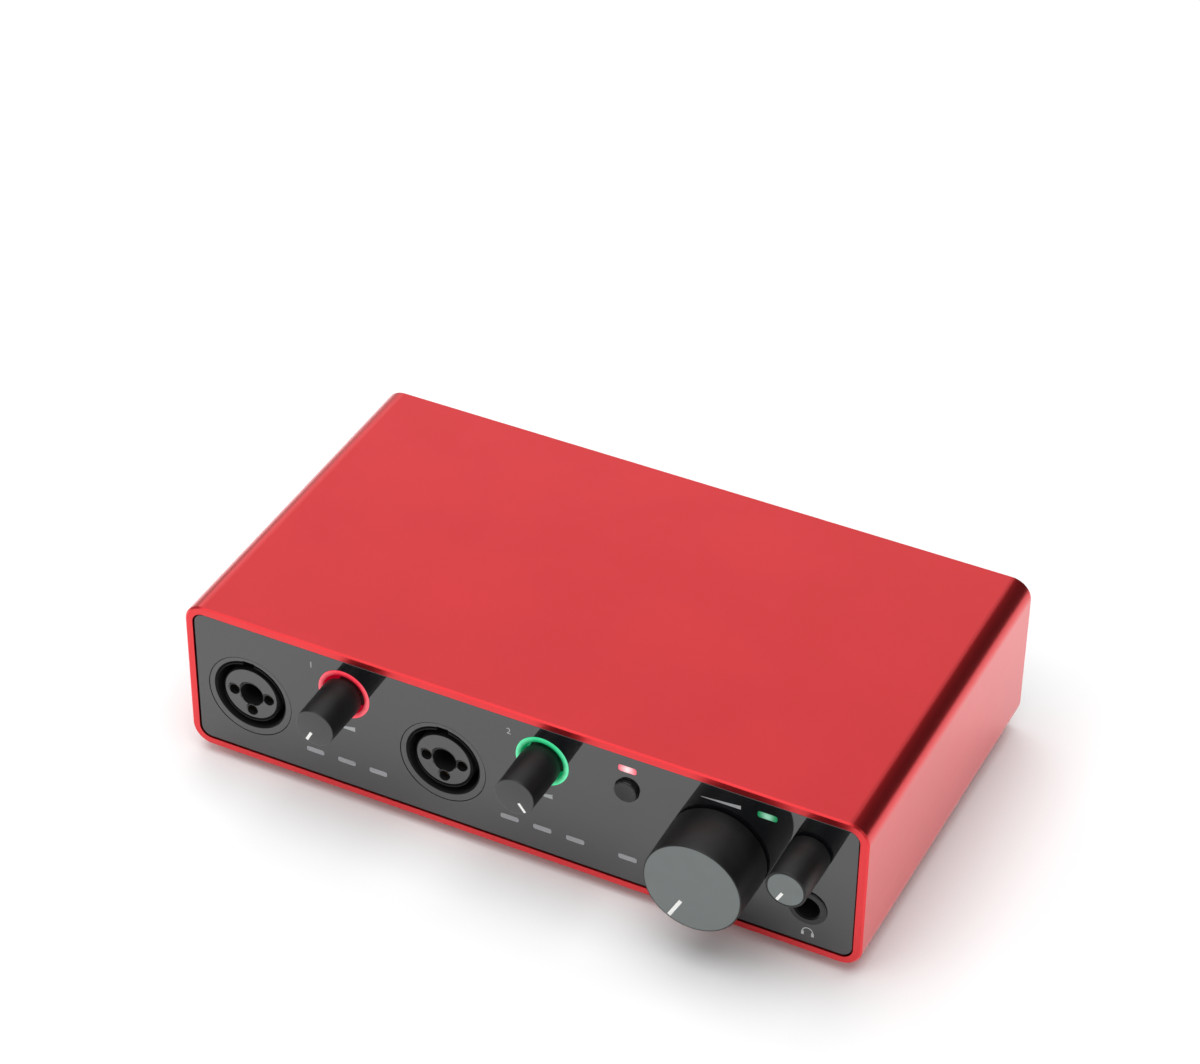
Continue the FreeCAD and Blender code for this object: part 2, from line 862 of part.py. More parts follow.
def input_contacts():
    """The three contact sleeves of each input, with tails behind the housings."""
    start = front_panel_face + input_face_drop + contact_drop
    end = bracket_back + seat_gap + input_body_depth + contact_tail
    solids = []
    for x in input_x:
        for px, pz in pole_places(x, input_z):
            sleeve_part = rod(px, pz, contact_radius, start, end)
            socket = rod(px, pz, contact_socket_radius, start, start + contact_socket_depth)
            solids.append(sleeve_part.cut(socket))
    return solids


# ---------------------------------------------------------------- quarter-inch jacks
def spring_slots(x, z, reach, back, toward):
    """The slots above and below a jack's bore that its contact springs lie in."""
    slots = []
    half = spring_width / 2 + spring_slot_gap
    for side, up in ((-1, 1), (1, -1)):
        middle = x + side * spring_offset
        slots.append(
            block(
                (middle - half, middle + half),
                sorted((back, back + toward * (spring_length + spring_slot_gap))),
                sorted((z + up * spring_slot_start, z + up * reach)),
            )
        )
    return slots


def springs(x, z, reach, back, toward):
    """Two contact springs with their legs down the back of the housing to the board."""
    solids = []
    half = spring_width / 2
    for side, up in ((-1, 1), (1, -1)):
        middle = x + side * spring_offset
        wide = (middle - half, middle + half)
        outer = z + up * reach
        inner = z + up * (reach - spring_thickness)
        end = back + toward * spring_length
        strip = block(wide, sorted((back, end)), sorted((inner, outer)))
        bump = block(
            wide,
            sorted((end - toward * spring_bump_length, end)),
            sorted((z + up * spring_bump_start, inner)),
        )
        leg_top = max(inner, outer)
        leg = block(
            wide, sorted((back - toward * spring_thickness, back)), (board_top, leg_top)
        )
        solids.append(strip.fuse([bump, leg]).removeSplitter())
    return solids


def line_jack(x):
    """A rear jack: a case on the board and a bush through the rear panel."""
    inside = rear_panel_inside - seat_gap
    mouth = rear_panel_face + jack_nut_height - jack_bush_drop
    case = block(
        (x - jack_width / 2, x + jack_width / 2),
        (jack_back, inside),
        (board_top, jack_axis_z + jack_case_top),
    )
    bush = rod(x, jack_axis_z, jack_bush_radius, inside - bond, mouth)
    bore = rod(x, jack_axis_z, plug_radius, mouth - jack_bore_depth, mouth)
    slots = spring_slots(x, jack_axis_z, spring_reach, jack_back, 1)
    return case.fuse(bush).removeSplitter().cut([bore] + slots)


def jack_nuts():
    """The chamfered nuts that clamp the rear jacks to the panel."""
    solids = []
    top = rear_panel_face + jack_nut_height
    for x in line_output_x + line_input_x:
        nut = hexagon(x, jack_axis_z, jack_nut_flats, rear_panel_face, top)
        corner = jack_nut_flats / math.sqrt(3)
        trim = cone(
            x,
            jack_axis_z,
            corner + jack_nut_height,
            corner - jack_nut_edge,
            rear_panel_face - jack_nut_edge,
            top,
        )
        bore = rod(x, jack_axis_z, jack_bush_radius + jack_nut_bore_gap, rear_panel_face, top)
        solids.append(nut.common(trim).cut(bore))
    return solids


def phones_jack():
    """The headphone jack: a low case on the board and a bush through bracket and front panel."""
    front = bracket_back + seat_gap
    back = front + jack_body_depth
    mouth = front_panel_face - seat_gap
    half = phones_body_width / 2
    rise = phones_jack_z - board_top
    case = block(
        (phones_x - half, phones_x + half), (front, back), (board_top, phones_jack_z + rise)
    )
    bush = rod(phones_x, phones_jack_z, jack_bush_radius, mouth, front + bond)
    bore = rod(phones_x, phones_jack_z, plug_radius, mouth, mouth + jack_bore_depth)
    slots = spring_slots(phones_x, phones_jack_z, phones_spring_reach, back, -1)
    return case.fuse(bush).removeSplitter().cut([bore] + slots)


def phones_jack_ring():
    """The thin dress ring round the headphone jack's mouth."""
    mouth = front_panel_face - seat_gap
    solid = ring(
        phones_x,
        phones_jack_z,
        jack_bush_radius + phones_ring_margin,
        plug_radius + phones_ring_mouth,
        mouth - phones_ring_stand_out,
        mouth,
    )
    rims = edges_at(solid, mouth - phones_ring_stand_out)
    outer = [edge for edge in rims if edge.Curve.Radius > jack_bush_radius]
    return solid.makeChamfer(phones_ring_edge, outer)


def jack_springs():
    """The contact springs of every quarter-inch jack."""
    front_back = bracket_back + seat_gap + jack_body_depth
    solids = []
    for x in line_output_x + line_input_x:
        solids += springs(x, jack_axis_z, spring_reach, jack_back, 1)
    solids += springs(phones_x, phones_jack_z, phones_spring_reach, front_back, -1)
    return solids


# ---------------------------------------------------------------- five-pole and computer sockets
def din_pole_places(x):
    """The five poles, on a half circle."""
    return [
        (
            x + din_pole_circle * math.cos(math.radians(angle)),
            jack_axis_z + din_pole_circle * math.sin(math.radians(angle)),
        )
        for angle in din_pole_angles
    ]


def din_socket(x):
    """A five-pole socket's case, with its boss through the rear panel and a seat for the insert."""
    case = block(
        (x - din_width / 2, x + din_width / 2),
        (din_back, din_front),
        (board_top, board_top + din_height),
    )
    boss = rod(x, jack_axis_z, din_boss_radius, din_front - bond, din_mouth)
    groove = rod(x, jack_axis_z, din_groove[1], din_mouth - din_groove_depth, din_mouth)
    seat = rod(x, jack_axis_z, din_groove[0] + seat_gap, din_back, din_mouth)
    return case.fuse(boss).removeSplitter().cut([groove, seat])


def din_inserts():
    """The round inserts that hold the poles, keyed on top, standing in the middle of each socket."""
    solids = []
    for x in din_x:
        core = rod(x, jack_axis_z, din_groove[0], din_back, din_mouth)
        key = block(
            (x - din_key_half_width, x + din_key_half_width),
            (din_mouth - din_groove_depth, din_mouth),
            (jack_axis_z + din_groove[0] - din_key_depth, jack_axis_z + din_groove[1]),
        )
        holes = [rod(px, pz, din_pole_hole, din_back, din_mouth) for px, pz in din_pole_places(x)]
        solids.append(core.cut([key] + holes))
    return solids


def din_contacts():
    """The poles of both five-pole sockets."""
    start = din_back - din_pole_tail
    end = din_mouth - din_pole_drop
    return [
        rod(px, pz, din_pole_radius, start, end) for x in din_x for px, pz in din_pole_places(x)
    ]


def usb_outline(margin, y_from, y_to):
    """The computer socket's rounded outline, shrunk by a margin."""
    return slab(
        usb_width - 2 * margin,
        usb_height - 2 * margin,
        usb_height / 2 - margin,
        y_from,
        y_to,
        x=usb_x,
        z=board_top + usb_height / 2,
    )


def usb_shell_tube():
    """The computer socket's bent metal shell."""
    mouth = rear_panel_face - usb_mouth_drop
    shell = usb_outline(0, mouth - usb_length, mouth)
    return shell.cut(usb_outline(usb_shell, mouth - usb_length, mouth))


def usb_tongue():
    """The contact tongue and the block that holds it in the shell."""
    mouth = rear_panel_face - usb_mouth_drop
    base = usb_outline(
        usb_shell + running_gap, mouth - usb_length, mouth - usb_length + usb_base_length
    )
    tongue = slab(
        *usb_tongue_size,
        usb_tongue_edge,
        mouth - usb_length + bond,
        mouth - usb_tongue_drop,
        x=usb_x,
        z=board_top + usb_height / 2,
    )
    return base.fuse(tongue).removeSplitter()


# ---------------------------------------------------------------- boards
def main_board():
    """The board that lies on the lower ports, under the ribs, and carries the sockets."""
    half = inner_width / 2 - 2 * running_gap - fit_gap
    front = bracket_back + bond + 2 * seat_gap
    back = rear_panel_inside - 2 * fit_gap
    return block((-half, half), (front, back), (board_bottom, board_top))


def front_board():
    """The upright board behind the knobs, notched for the sockets that pass through it."""
    left = input_x[0] + input_half_width + front_board_margin
    right = port_x - port_radius - 2 * fit_gap
    top = inner_top - front_board_margin
    span = (front_board_face, front_board_back)
    board = block((left, right), span, (board_top, top))
    notch = input_half_width + 2 * fit_gap
    second = block(
        (input_x[1] - notch, input_x[1] + notch),
        span,
        (board_top, input_z + input_half_width + 2 * fit_gap),
    )
    rise = phones_jack_z - board_top
    phones = block(
        (phones_x - phones_body_width / 2 - 2 * fit_gap, right),
        span,
        (board_top, phones_jack_z + rise + 2 * fit_gap),
    )
    return board.cut([second, phones])


def board_link():
    """The header that joins the two boards."""
    middle = (button_x + monitor_x) / 2
    half = header_size[0] / 2
    return block(
        (middle - half, middle + half),
        (front_board_back, front_board_back + header_size[1]),
        (board_top, board_top + header_size[2]),
    )


def upright(x, y, radius, height):
    """A cylinder standing on the main board."""
    return Part.makeCylinder(radius, height, Vector(x, y, board_top))


def capacitor(x, y, size):
    """An electrolytic capacitor: a grooved can on the board."""
    radius, height = size
    can = upright(x, y, radius, height)
    low, depth = capacitor_groove
    band = upright(x, y, radius + depth, low).cut(upright(x, y, radius - depth, low))
    band.translate(Vector(0, 0, 2 * low))
    return can.cut(band)


def capacitors():
    """A coupling capacitor in front of each line jack, and three large ones by the supply."""
    solids = []
    for x in line_output_x + line_input_x:
        for side in (-1, 1):
            place = x + side * capacitor_offset
            solids.append(capacitor(place, capacitor_row_y, small_capacitor))
    for step in range(tall_capacitor_count):
        place = din_x[0] + step * tall_capacitor_pitch
        solids.append(capacitor(place, supply_row_y, tall_capacitor))
    return solids


def chips():
    """The converters, the processor and the amplifiers, as flat packages."""
    return [
        block(
            (x - wide / 2, x + wide / 2),
            (chip_row_y - deep / 2, chip_row_y + deep / 2),
            (board_top, board_top + chip_height),
        )
        for x, wide, deep in chip_places
    ]


def chokes():
    """Two moulded chokes beside the shield."""
    wide, deep, high = choke_size
    span = (choke_row_y, choke_row_y + deep)
    return [block((x, x + wide), span, (board_top, board_top + high)) for x in choke_x]


def shield():
    """The tinned cover over the supply, open underneath."""
    wide, deep, high = shield_size
    x = din_x[0]
    y = shield_y
    outer = block((x, x + wide), (y, y + deep), (board_top, board_top + high))
    inner = block(
        (x + shield_wall, x + wide - shield_wall),
        (y + shield_wall, y + deep - shield_wall),
        (board_top, board_top + high - shield_wall),
    )
    return outer.cut(inner)


# ---------------------------------------------------------------- writing the nodes
def save(name, shape):
    """Writes one node as a STEP file. A list of solids is one node."""
    solids = shape if isinstance(shape, list) else [shape]
    solids = [solid for one in solids for solid in one.Solids]
    for solid in solids:
        if not solid.isValid() or solid.Volume <= 0:
            raise ValueError(f"{name} holds a solid that isn't sound")
    whole = solids[0] if len(solids) == 1 else Part.makeCompound(solids)
    whole.exportStep(os.path.join("parts", f"{name}.step"))
    print(f"{name}: {len(solids)} solid(s), {sum(s.Volume for s in solids) / 1000:.2f} cm3")


def main():
    os.makedirs("parts", exist_ok=True)
    save("sleeve", sleeve())
    save("front_panel", front_panel())
    save("front_bracket", front_bracket())
    save("rear_panel", rear_panel())
    save("rubber_feet", feet())
    save("bracket_screws", bracket_screws())
    save("rear_screws", rear_screws())

    for number, x in enumerate(input_x, start=1):
        save(f"input_{number}_housing", input_housing(x))
    save("input_contacts", input_contacts())

    gain_angles = (pointer_at_minimum, pointer_of_second_gain)
    for number, (x, angle) in enumerate(zip(gain_x, gain_angles), start=1):
        save(f"gain_{number}_knob", small_knob(x, upper_row_z, angle, False))
        save(f"gain_{number}_pointer", gain_pointer(x, angle))
        save(f"gain_{number}_shaft", shaft(x, upper_row_z, sleeve_front - small_stand_out))
        save(f"gain_{number}_potentiometer", potentiometer(x, upper_row_z))
        save(f"halo_ring_{number}", halo(x))

    save("monitor_knob", monitor_knob())
    save("monitor_face", monitor_face(pointer_at_minimum))
    save("monitor_pointer", monitor_pointer_bar(pointer_at_minimum))
    save("monitor_shaft", shaft(monitor_x, monitor_z, sleeve_front - monitor_stand_out))
    save("monitor_potentiometer", potentiometer(monitor_x, monitor_z))

    save("phones_knob", small_knob(phones_x, upper_row_z, pointer_at_minimum, True))
    save("phones_face", phones_face(pointer_at_minimum))
    save("phones_pointer", phones_pointer_bar(pointer_at_minimum))
    save("phones_shaft", shaft(phones_x, upper_row_z, sleeve_front - small_stand_out))
    save("phones_potentiometer", potentiometer(phones_x, upper_row_z))
    save("phones_jack", phones_jack())
    save("phones_jack_ring", phones_jack_ring())

    save("phantom_button", button_cap())
    save("phantom_plunger", button_plunger())
    save("phantom_switch", button_switch())
    save("phantom_window", light_pipe(button_window_place, button_window_size))
    save("link_window", light_pipe(link_window_place, link_window_size))
    save("mode_windows", [light_pipe(place, window_size) for place in window_places])
    save("lamps", lamps())

    for number, x in enumerate(line_output_x, start=1):
        save(f"line_output_{number}", line_jack(x))
    for number, x in enumerate(line_input_x, start=3):
        save(f"line_input_{number}", line_jack(x))
    save("jack_nuts", jack_nuts())
    save("jack_springs", jack_springs())
    for name, x in zip(("midi_in_socket", "midi_out_socket"), din_x):
        save(name, din_socket(x))
    save("midi_inserts", din_inserts())
    save("midi_contacts", din_contacts())
    save("usb_shell", usb_shell_tube())
    save("usb_tongue", usb_tongue())

    save("main_board", main_board())
    save("front_board", front_board())
    save("board_link", board_link())
    save("capacitors", capacitors())
    save("chips", chips())
    save("chokes", chokes())
    save("supply_shield", shield())


main()
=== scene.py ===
import json
import math

import bpy
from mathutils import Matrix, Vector


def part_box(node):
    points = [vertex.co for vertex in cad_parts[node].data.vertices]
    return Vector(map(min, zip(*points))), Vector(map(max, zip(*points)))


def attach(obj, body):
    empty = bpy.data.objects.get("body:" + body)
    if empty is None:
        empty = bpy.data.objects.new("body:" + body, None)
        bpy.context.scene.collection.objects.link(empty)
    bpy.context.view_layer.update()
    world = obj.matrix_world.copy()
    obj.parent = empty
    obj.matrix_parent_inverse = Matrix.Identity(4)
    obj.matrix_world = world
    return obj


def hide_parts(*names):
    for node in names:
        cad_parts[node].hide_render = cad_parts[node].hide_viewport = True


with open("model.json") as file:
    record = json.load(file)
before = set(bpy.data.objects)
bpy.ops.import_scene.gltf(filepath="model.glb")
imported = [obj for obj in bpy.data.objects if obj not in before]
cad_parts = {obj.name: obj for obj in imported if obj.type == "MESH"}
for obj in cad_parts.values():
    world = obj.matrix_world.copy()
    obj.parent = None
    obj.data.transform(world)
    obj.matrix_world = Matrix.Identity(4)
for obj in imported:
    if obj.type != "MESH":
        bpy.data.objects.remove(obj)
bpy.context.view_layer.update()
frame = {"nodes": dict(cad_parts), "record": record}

MM = 0.001
ROUND = 96                  # sides of a large round piece
SMALL_ROUND = 48            # sides of a small one
SMOOTH_ANGLE = 30           # degrees, past which an edge stays sharp
DOUBLES = 0.002 * MM        # points closer than this are one
WELD_REACH = 0.01 * MM      # and in a CAD node whose edges are broken, this
FLAT_ANGLE = 1              # degrees, up to which its triangles are one face
SHARP_ANGLE = 40            # degrees, past which its edges are broken
POLISH_IOR = 1.9            # a hard lacquer, which mirrors more than bare plastic
EDGE_BLUR = 0.05 * MM       # how softly one finish gives way to the next


# ---------------------------------------------------------------- shader expressions
COLOUR_A, COLOUR_B = 6, 7   # the colour inputs of a Mix node, whose names aren't unique


class Value:
    """A socket that can stand in an expression; each operator adds the Math node for it."""

    def __init__(self, finish, socket):
        self.finish = finish
        self.socket = socket

    def _math(self, operation, first, second):
        links = {0: first, 1: second}
        return self.finish.node("ShaderNodeMath", {"operation": operation}, links)["Value"]

    def __add__(self, other):
        return self._math("ADD", self, other)

    def __radd__(self, other):
        return self._math("ADD", other, self)

    def __sub__(self, other):
        return self._math("SUBTRACT", self, other)

    def __rsub__(self, other):
        return self._math("SUBTRACT", other, self)

    def __mul__(self, other):
        return self._math("MULTIPLY", self, other)

    def __rmul__(self, other):
        return self._math("MULTIPLY", other, self)

    def between(self, low, high):
        """0 below low, 1 above high, and smooth in between."""
        settings = {"interpolation_type": "SMOOTHSTEP"}
        links = {"Value": self, "From Min": low, "From Max": high}
        return self.finish.node("ShaderNodeMapRange", settings, links)["Result"]


class Finish:
    """A material: its name, its surface shader and the nodes that feed it."""

    def __init__(self, name, **plain):
        self.material = bpy.data.materials.new(name)
        self.material.use_nodes = True
        self.tree = self.material.node_tree
        self.shader = self.tree.nodes["Principled BSDF"]
        self.set(**plain)

    def node(self, kind, settings=None, links=None):
        """Adds a node, sets its settings, then its sockets. Returns its outputs by name."""
        made = self.tree.nodes.new(kind)
        for key, value in (settings or {}).items():
            setattr(made, key, value)
        for key, value in (links or {}).items():
            self._feed(made.inputs[key], value)
        return {socket.name: Value(self, socket) for socket in made.outputs if socket.enabled}

    def _feed(self, socket, value):
        if isinstance(value, Value):
            self.tree.links.new(value.socket, socket)
        elif isinstance(value, tuple) and len(value) == 3 and socket.type == "RGBA":
            socket.default_value = (*value, 1.0)
        else:
            socket.default_value = value

    def set(self, **inputs):
        """Sets or links the shader's own sockets; coat_weight stands for Coat Weight."""
        for key, value in inputs.items():
            words = key.replace("_", " ").title().replace("Ior", "IOR")
            self._feed(self.shader.inputs[words], value)
        return self

    def place(self, centre=(0, 0, 0), stretch=(1, 1, 1)):
        """Object coordinates, moved to a centre and stretched."""
        here = self.node("ShaderNodeTexCoord")["Object"]
        shift = tuple(-place * scale for place, scale in zip(centre, stretch))
        links = {"Vector": here, "Location": shift, "Scale": stretch}
        return self.node("ShaderNodeMapping", {"vector_type": "POINT"}, links)["Vector"]

    def distance(self, centre, stretch=(1, 1, 1)):
        """How far a point lies from a centre, or with a stretch of 0 from a line through it."""
        links = {0: self.place(centre, stretch)}
        return self.node("ShaderNodeVectorMath", {"operation": "LENGTH"}, links)["Value"]

    def depth(self):
        """How far back a point lies."""
        links = {"Vector": self.place()}
        return self.node("ShaderNodeSeparateXYZ", {}, links)["Y"]

    def noise(self, scale, detail, roughness, where=None):
        """Noise from 0 to 1, with scale in features per metre."""
        where = where or self.place()
        links = {"Vector": where, "Scale": scale, "Detail": detail, "Roughness": roughness}
        return self.node("ShaderNodeTexNoise", {"noise_dimensions": "3D"}, links)["Fac"]

    def mix(self, factor, first, second):
        """A colour between two."""
        links = {"Factor": factor, COLOUR_A: first, COLOUR_B: second}
        return self.node("ShaderNodeMix", {"data_type": "RGBA"}, links)["Result"]

    def bump(self, height, strength, distance):
        """A relief from a height, fed to the shader's normal."""
        links = {"Height": height, "Strength": strength, "Distance": distance}
        return self.set(normal=self.node("ShaderNodeBump", {}, links)["Normal"])


# ---------------------------------------------------------------- finishes
KNOB_LACQUER = 0.42         # shares of the panel's lacquer
SOCKET_LACQUER = 0.62


def anodised_red():
    """Bead-blasted aluminium, dyed red, with the faint draw lines of the extrusion under the blast."""
    finish = Finish("anodised_red", metallic=1.0, coat_ior=1.5, coat_roughness=0.2)
    blast = finish.noise(5200, 3.0, 0.6)
    drawn = finish.noise(900, 2.0, 0.5, finish.place(stretch=(1, 0.02, 1)))
    cloud = finish.noise(28, 3.0, 0.6)
    finish.set(
        base_color=finish.mix(cloud.between(0.3, 0.7), (0.76, 0.026, 0.033), (0.8, 0.029, 0.037)),
        roughness=0.25 + 0.015 * cloud + 0.03 * drawn + 0.04 * blast,
        coat_weight=0.5 + 0.2 * blast,
    )
    return finish.bump(blast + 0.5 * drawn, 0.11, 0.03 * MM).material


def gloss_black():
    """Polished black acrylic with a trace of orange peel and a few dull patches."""
    finish = Finish("gloss_black", base_color=(0.006, 0.0065, 0.0075), ior=POLISH_IOR)
    peel = finish.noise(260, 1.0, 0.4)
    haze = finish.noise(45, 3.0, 0.6)
    finish.set(roughness=0.035 + 0.05 * haze.between(0.45, 0.8))
    return finish.bump(peel, 0.03, 0.05 * MM).material


def soft_black(name, tone, roughness, polished=None):
    """Moulded plastic with a soft-touch coat: a fine grain, duller where it is handled.

    With polished given, what stands in front of that y has a share of the panel's lacquer.
    """
    finish = Finish(name, ior=1.45, coat_ior=POLISH_IOR, coat_roughness=0.05)
    grain = finish.noise(7000, 2.0, 0.55)
    worn = finish.noise(160, 3.0, 0.6)
    tones = ((tone * 0.85,) * 3, (tone * 1.2, tone * 1.18, tone * 1.25))
    finish.set(
        base_color=finish.mix(worn.between(0.35, 0.7), *tones),
        roughness=roughness - 0.06 + 0.12 * worn + 0.04 * grain,
    )
    if polished is not None:
        behind = finish.depth().between(polished - EDGE_BLUR, polished + EDGE_BLUR)
        finish.set(coat_weight=KNOB_LACQUER * (1 - behind))
    return finish.bump(grain, 0.12, 0.03 * MM).material


def socket_black(name, axis, face, lead_in):
    """A socket's plastic: lacquered on its front, matt on its lead-ins and down its holes, where
    painted shade makes it near black.
    """
    finish = Finish(name, ior=1.45, coat_ior=POLISH_IOR, coat_roughness=0.06)
    grain = finish.noise(6000, 2.0, 0.55)
    flow = finish.noise(120, 3.0, 0.6)
    away = finish.distance(axis, (1, 0, 1))
    past_core, past_rim = [away.between(edge - EDGE_BLUR, edge + EDGE_BLUR) for edge in lead_in]
    mouth = past_core - past_rim
    depth = finish.depth().between(face + 0.55 * MM, face + 1.6 * MM)
    # painted shade: inward marks the lead-ins and the walls down the holes, which get a near-black
    # colour below
    inward = depth + mouth - depth * mouth
    front = finish.mix(flow.between(0.3, 0.7), (0.009, 0.009, 0.01), (0.013, 0.0125, 0.014))
    finish.set(
        # painted shade: the near-black colour stands in for the shade in the groove and the holes
        base_color=finish.mix(inward, front, (0.0015, 0.0015, 0.0016)),
        roughness=0.3 + 0.05 * grain + 0.55 * inward,
        coat_weight=SOCKET_LACQUER * (1 - inward.between(0, 0.08)),
    )
    return finish.bump(grain, 0.1, 0.03 * MM).material


def satin_grey(name, tone, centre):
    """A spun satin disc: rings about its centre that catch the light a little unevenly."""
    finish = Finish(name, ior=1.5)
    radius = finish.distance(centre, (1, 0, 1))
    ringed = finish.node("ShaderNodeCombineXYZ", {}, {"X": radius})["Vector"]
    rings = finish.noise(9000, 2.0, 0.6, ringed)
    cloud = finish.noise(220, 2.0, 0.5)
    light = tuple(min(1.0, 1.12 * c) for c in tone)
    dark = tuple(0.9 * c for c in tone)
    finish.set(
        base_color=finish.mix(0.6 * rings + 0.4 * cloud, dark, light),
        roughness=0.34 + 0.12 * rings,
        metallic=0.25 + 0.1 * rings,
    )
    return finish.bump(rings, 0.08, 0.02 * MM).material


def moulded(name, colour, roughness, grain_scale=3500, relief=0.14):
    """Plain injection-moulded plastic with spark-eroded grain."""
    finish = Finish(name, ior=1.5)
    grain = finish.noise(grain_scale, 3.0, 0.6)
    flow = finish.noise(90, 3.0, 0.6)
    light = tuple(min(1.0, 1.15 * c + 0.002) for c in colour)
    finish.set(
        base_color=finish.mix(flow.between(0.3, 0.7), colour, light),
        roughness=roughness - 0.05 + 0.1 * flow + 0.06 * grain,
    )
    return finish.bump(grain, relief, 0.04 * MM).material


def powder_coat():
    """Black textured powder coat on steel."""
    finish = Finish("powder_coat", ior=1.5)
    orange_peel = finish.noise(1900, 4.0, 0.6)
    cloud = finish.noise(70, 2.0, 0.5)
    finish.set(
        base_color=finish.mix(cloud, (0.012, 0.012, 0.013), (0.02, 0.02, 0.022)),
        roughness=0.5 + 0.18 * orange_peel,
    )
    return finish.bump(orange_peel, 0.35, 0.06 * MM).material


def rubber():
    """Matt black rubber with a dusty bloom."""
    finish = Finish("foot_rubber", ior=1.45)
    bloom = finish.noise(420, 4.0, 0.65)
    finish.set(
        base_color=finish.mix(bloom.between(0.4, 0.75), (0.011, 0.011, 0.012), (0.03, 0.03, 0.031)),
        roughness=0.68 + 0.16 * bloom,
    )
    return finish.bump(bloom, 0.2, 0.06 * MM).material


def metal(name, colour, roughness, lines=(1, 1, 1)):
    """Plated or turned metal, with fine lines along the axis that is least stretched."""
    finish = Finish(name, metallic=1.0)
    marks = finish.noise(2600, 3.0, 0.6, finish.place(stretch=lines))
    cloud = finish.noise(150, 3.0, 0.6)
    dull = tuple(0.82 * c for c in colour)
    finish.set(
        base_color=finish.mix(cloud.between(0.35, 0.75), colour, dull),
        roughness=roughness - 0.06 + 0.1 * marks + 0.08 * cloud,
    )
    return finish.bump(marks, 0.07, 0.03 * MM).material


def lit(name, core, edge, strength, centre=(0, 0, 0), reach=4 * MM):
    """A lit diffuser, whiter near its lamp and deeper in colour away from it."""
    finish = Finish(name, ior=1.49, emission_strength=strength, roughness=0.3)
    away = finish.distance(centre)
    mottle = finish.noise(900, 2.0, 0.5)
    fade = (away + 0.8 * MM * mottle).between(0.15 * reach, reach)
    glow = finish.mix(fade, core, edge)
    return finish.set(base_color=tuple(0.25 * c for c in edge), emission_color=glow).material


def halo_light(name, deep, bright, hot, centre, inner, outer):
    """The ring of light: deep in colour inside, bright at the rim and hotter beside its lamps."""
    finish = Finish(name, ior=1.49, emission_strength=1.0, roughness=0.25)
    away = finish.distance(centre, (1, 0, 1))
    parts = finish.node("ShaderNodeSeparateXYZ", {}, {"Vector": finish.place(centre)})
    side = finish.node("ShaderNodeMath", {"operation": "ABSOLUTE"}, {0: parts["X"]})["Value"]
    mottle = finish.noise(700, 2.0, 0.5)
    near = (side + 1.0 * MM * mottle).between(0.5 * outer, 1.1 * outer)
    out = (away + 0.3 * MM * mottle).between(inner + 0.1 * MM, outer)
    glow = finish.mix(out, deep, finish.mix(0.6 * near + 0.2 * mottle, bright, hot))
    return finish.set(base_color=tuple(0.2 * c for c in bright), emission_color=glow).material


def solder_mask():
    """Green solder mask over tracks that run front to rear."""
    finish = Finish("solder_mask", ior=1.5, roughness=0.3)
    tracks = finish.noise(420, 1.0, 0.3, finish.place(stretch=(1, 0.06, 1)))
    track = tracks.between(0.49, 0.53)
    finish.set(base_color=finish.mix(track, (0.006, 0.05, 0.022), (0.02, 0.12, 0.045)))
    return finish.bump(track, 0.3, 0.04 * MM).material


# ---------------------------------------------------------------- modelling by hand
def deselect():
    bpy.ops.object.select_all(action="DESELECT")


def edit():
    bpy.ops.object.mode_set(mode="EDIT")


def leave_edit():
    bpy.ops.object.mode_set(mode="OBJECT")


def apply_modifier(obj, kind, **settings):
    """Adds a modifier and applies it."""
    deselect()
    obj.select_set(True)
    bpy.context.view_layer.objects.active = obj
    modifier = obj.modifiers.new(kind.title(), kind)
    for key, value in settings.items():
        setattr(modifier, key, value)
    bpy.ops.object.modifier_apply(modifier=modifier.name)


def settle(obj):
    """Puts the object at the origin, with its place in its mesh."""
    deselect()
    obj.select_set(True)
    bpy.context.view_layer.objects.active = obj
    bpy.ops.object.transform_apply(location=True, rotation=True, scale=True)


def tidy_mesh(obj):
    """Merges doubles, turns the faces outwards and smooths what isn't an edge."""
    settle(obj)
    edit()
    bpy.ops.mesh.select_all(action="SELECT")
    bpy.ops.mesh.remove_doubles(threshold=DOUBLES)
    bpy.ops.mesh.normals_make_consistent(inside=False)
    leave_edit()
    bpy.ops.object.shade_smooth_by_angle(angle=math.radians(SMOOTH_ANGLE))
    return obj


def turned(name, centre, profile, axis="Y", sides=ROUND):
    """A piece turned about a line through its centre.

    A circle is extruded and scaled from each (radius, distance along the axis) of the profile to
    the next. Both ends are filled, unless the profile comes back to its start.
    """
    along = "XYZ".index(axis)
    capped = profile[0] != profile[-1]
    deselect()
    radius, reached = profile[0]
    place = list(centre)
    place[along] = reached
    tilt = (math.pi / 2, 0, 0) if axis == "Y" else (0, 0, 0)
    bpy.ops.mesh.primitive_circle_add(
        vertices=sides, radius=radius, fill_type="NOTHING", location=place, rotation=tilt
    )
    obj = bpy.context.object
    obj.name = obj.data.name = name
    settle(obj)
    edit()
    bpy.ops.mesh.select_mode(type="EDGE")
    bpy.ops.mesh.select_all(action="SELECT")
    if capped:
        bpy.ops.mesh.edge_face_add()
    for new_radius, new_reach in profile[1:]:
        step = [0, 0, 0]
        step[along] = new_reach - reached
        bpy.ops.mesh.extrude_edges_move(TRANSFORM_OT_translate={"value": step})
        grow = [new_radius / radius] * 3
        grow[along] = 1
        place[along] = new_reach
        bpy.ops.transform.resize(value=grow, center_override=place)
        radius, reached = new_radius, new_reach
    if capped:
        bpy.ops.mesh.edge_face_add()
    leave_edit()
    return tidy_mesh(obj)


def cut(obj, *cutters):
    """Cuts the cutters out of a piece, and removes them."""
    for cutter in cutters:
        apply_modifier(obj, "BOOLEAN", operation="DIFFERENCE", object=cutter, solver="EXACT")
        bpy.data.objects.remove(cutter)


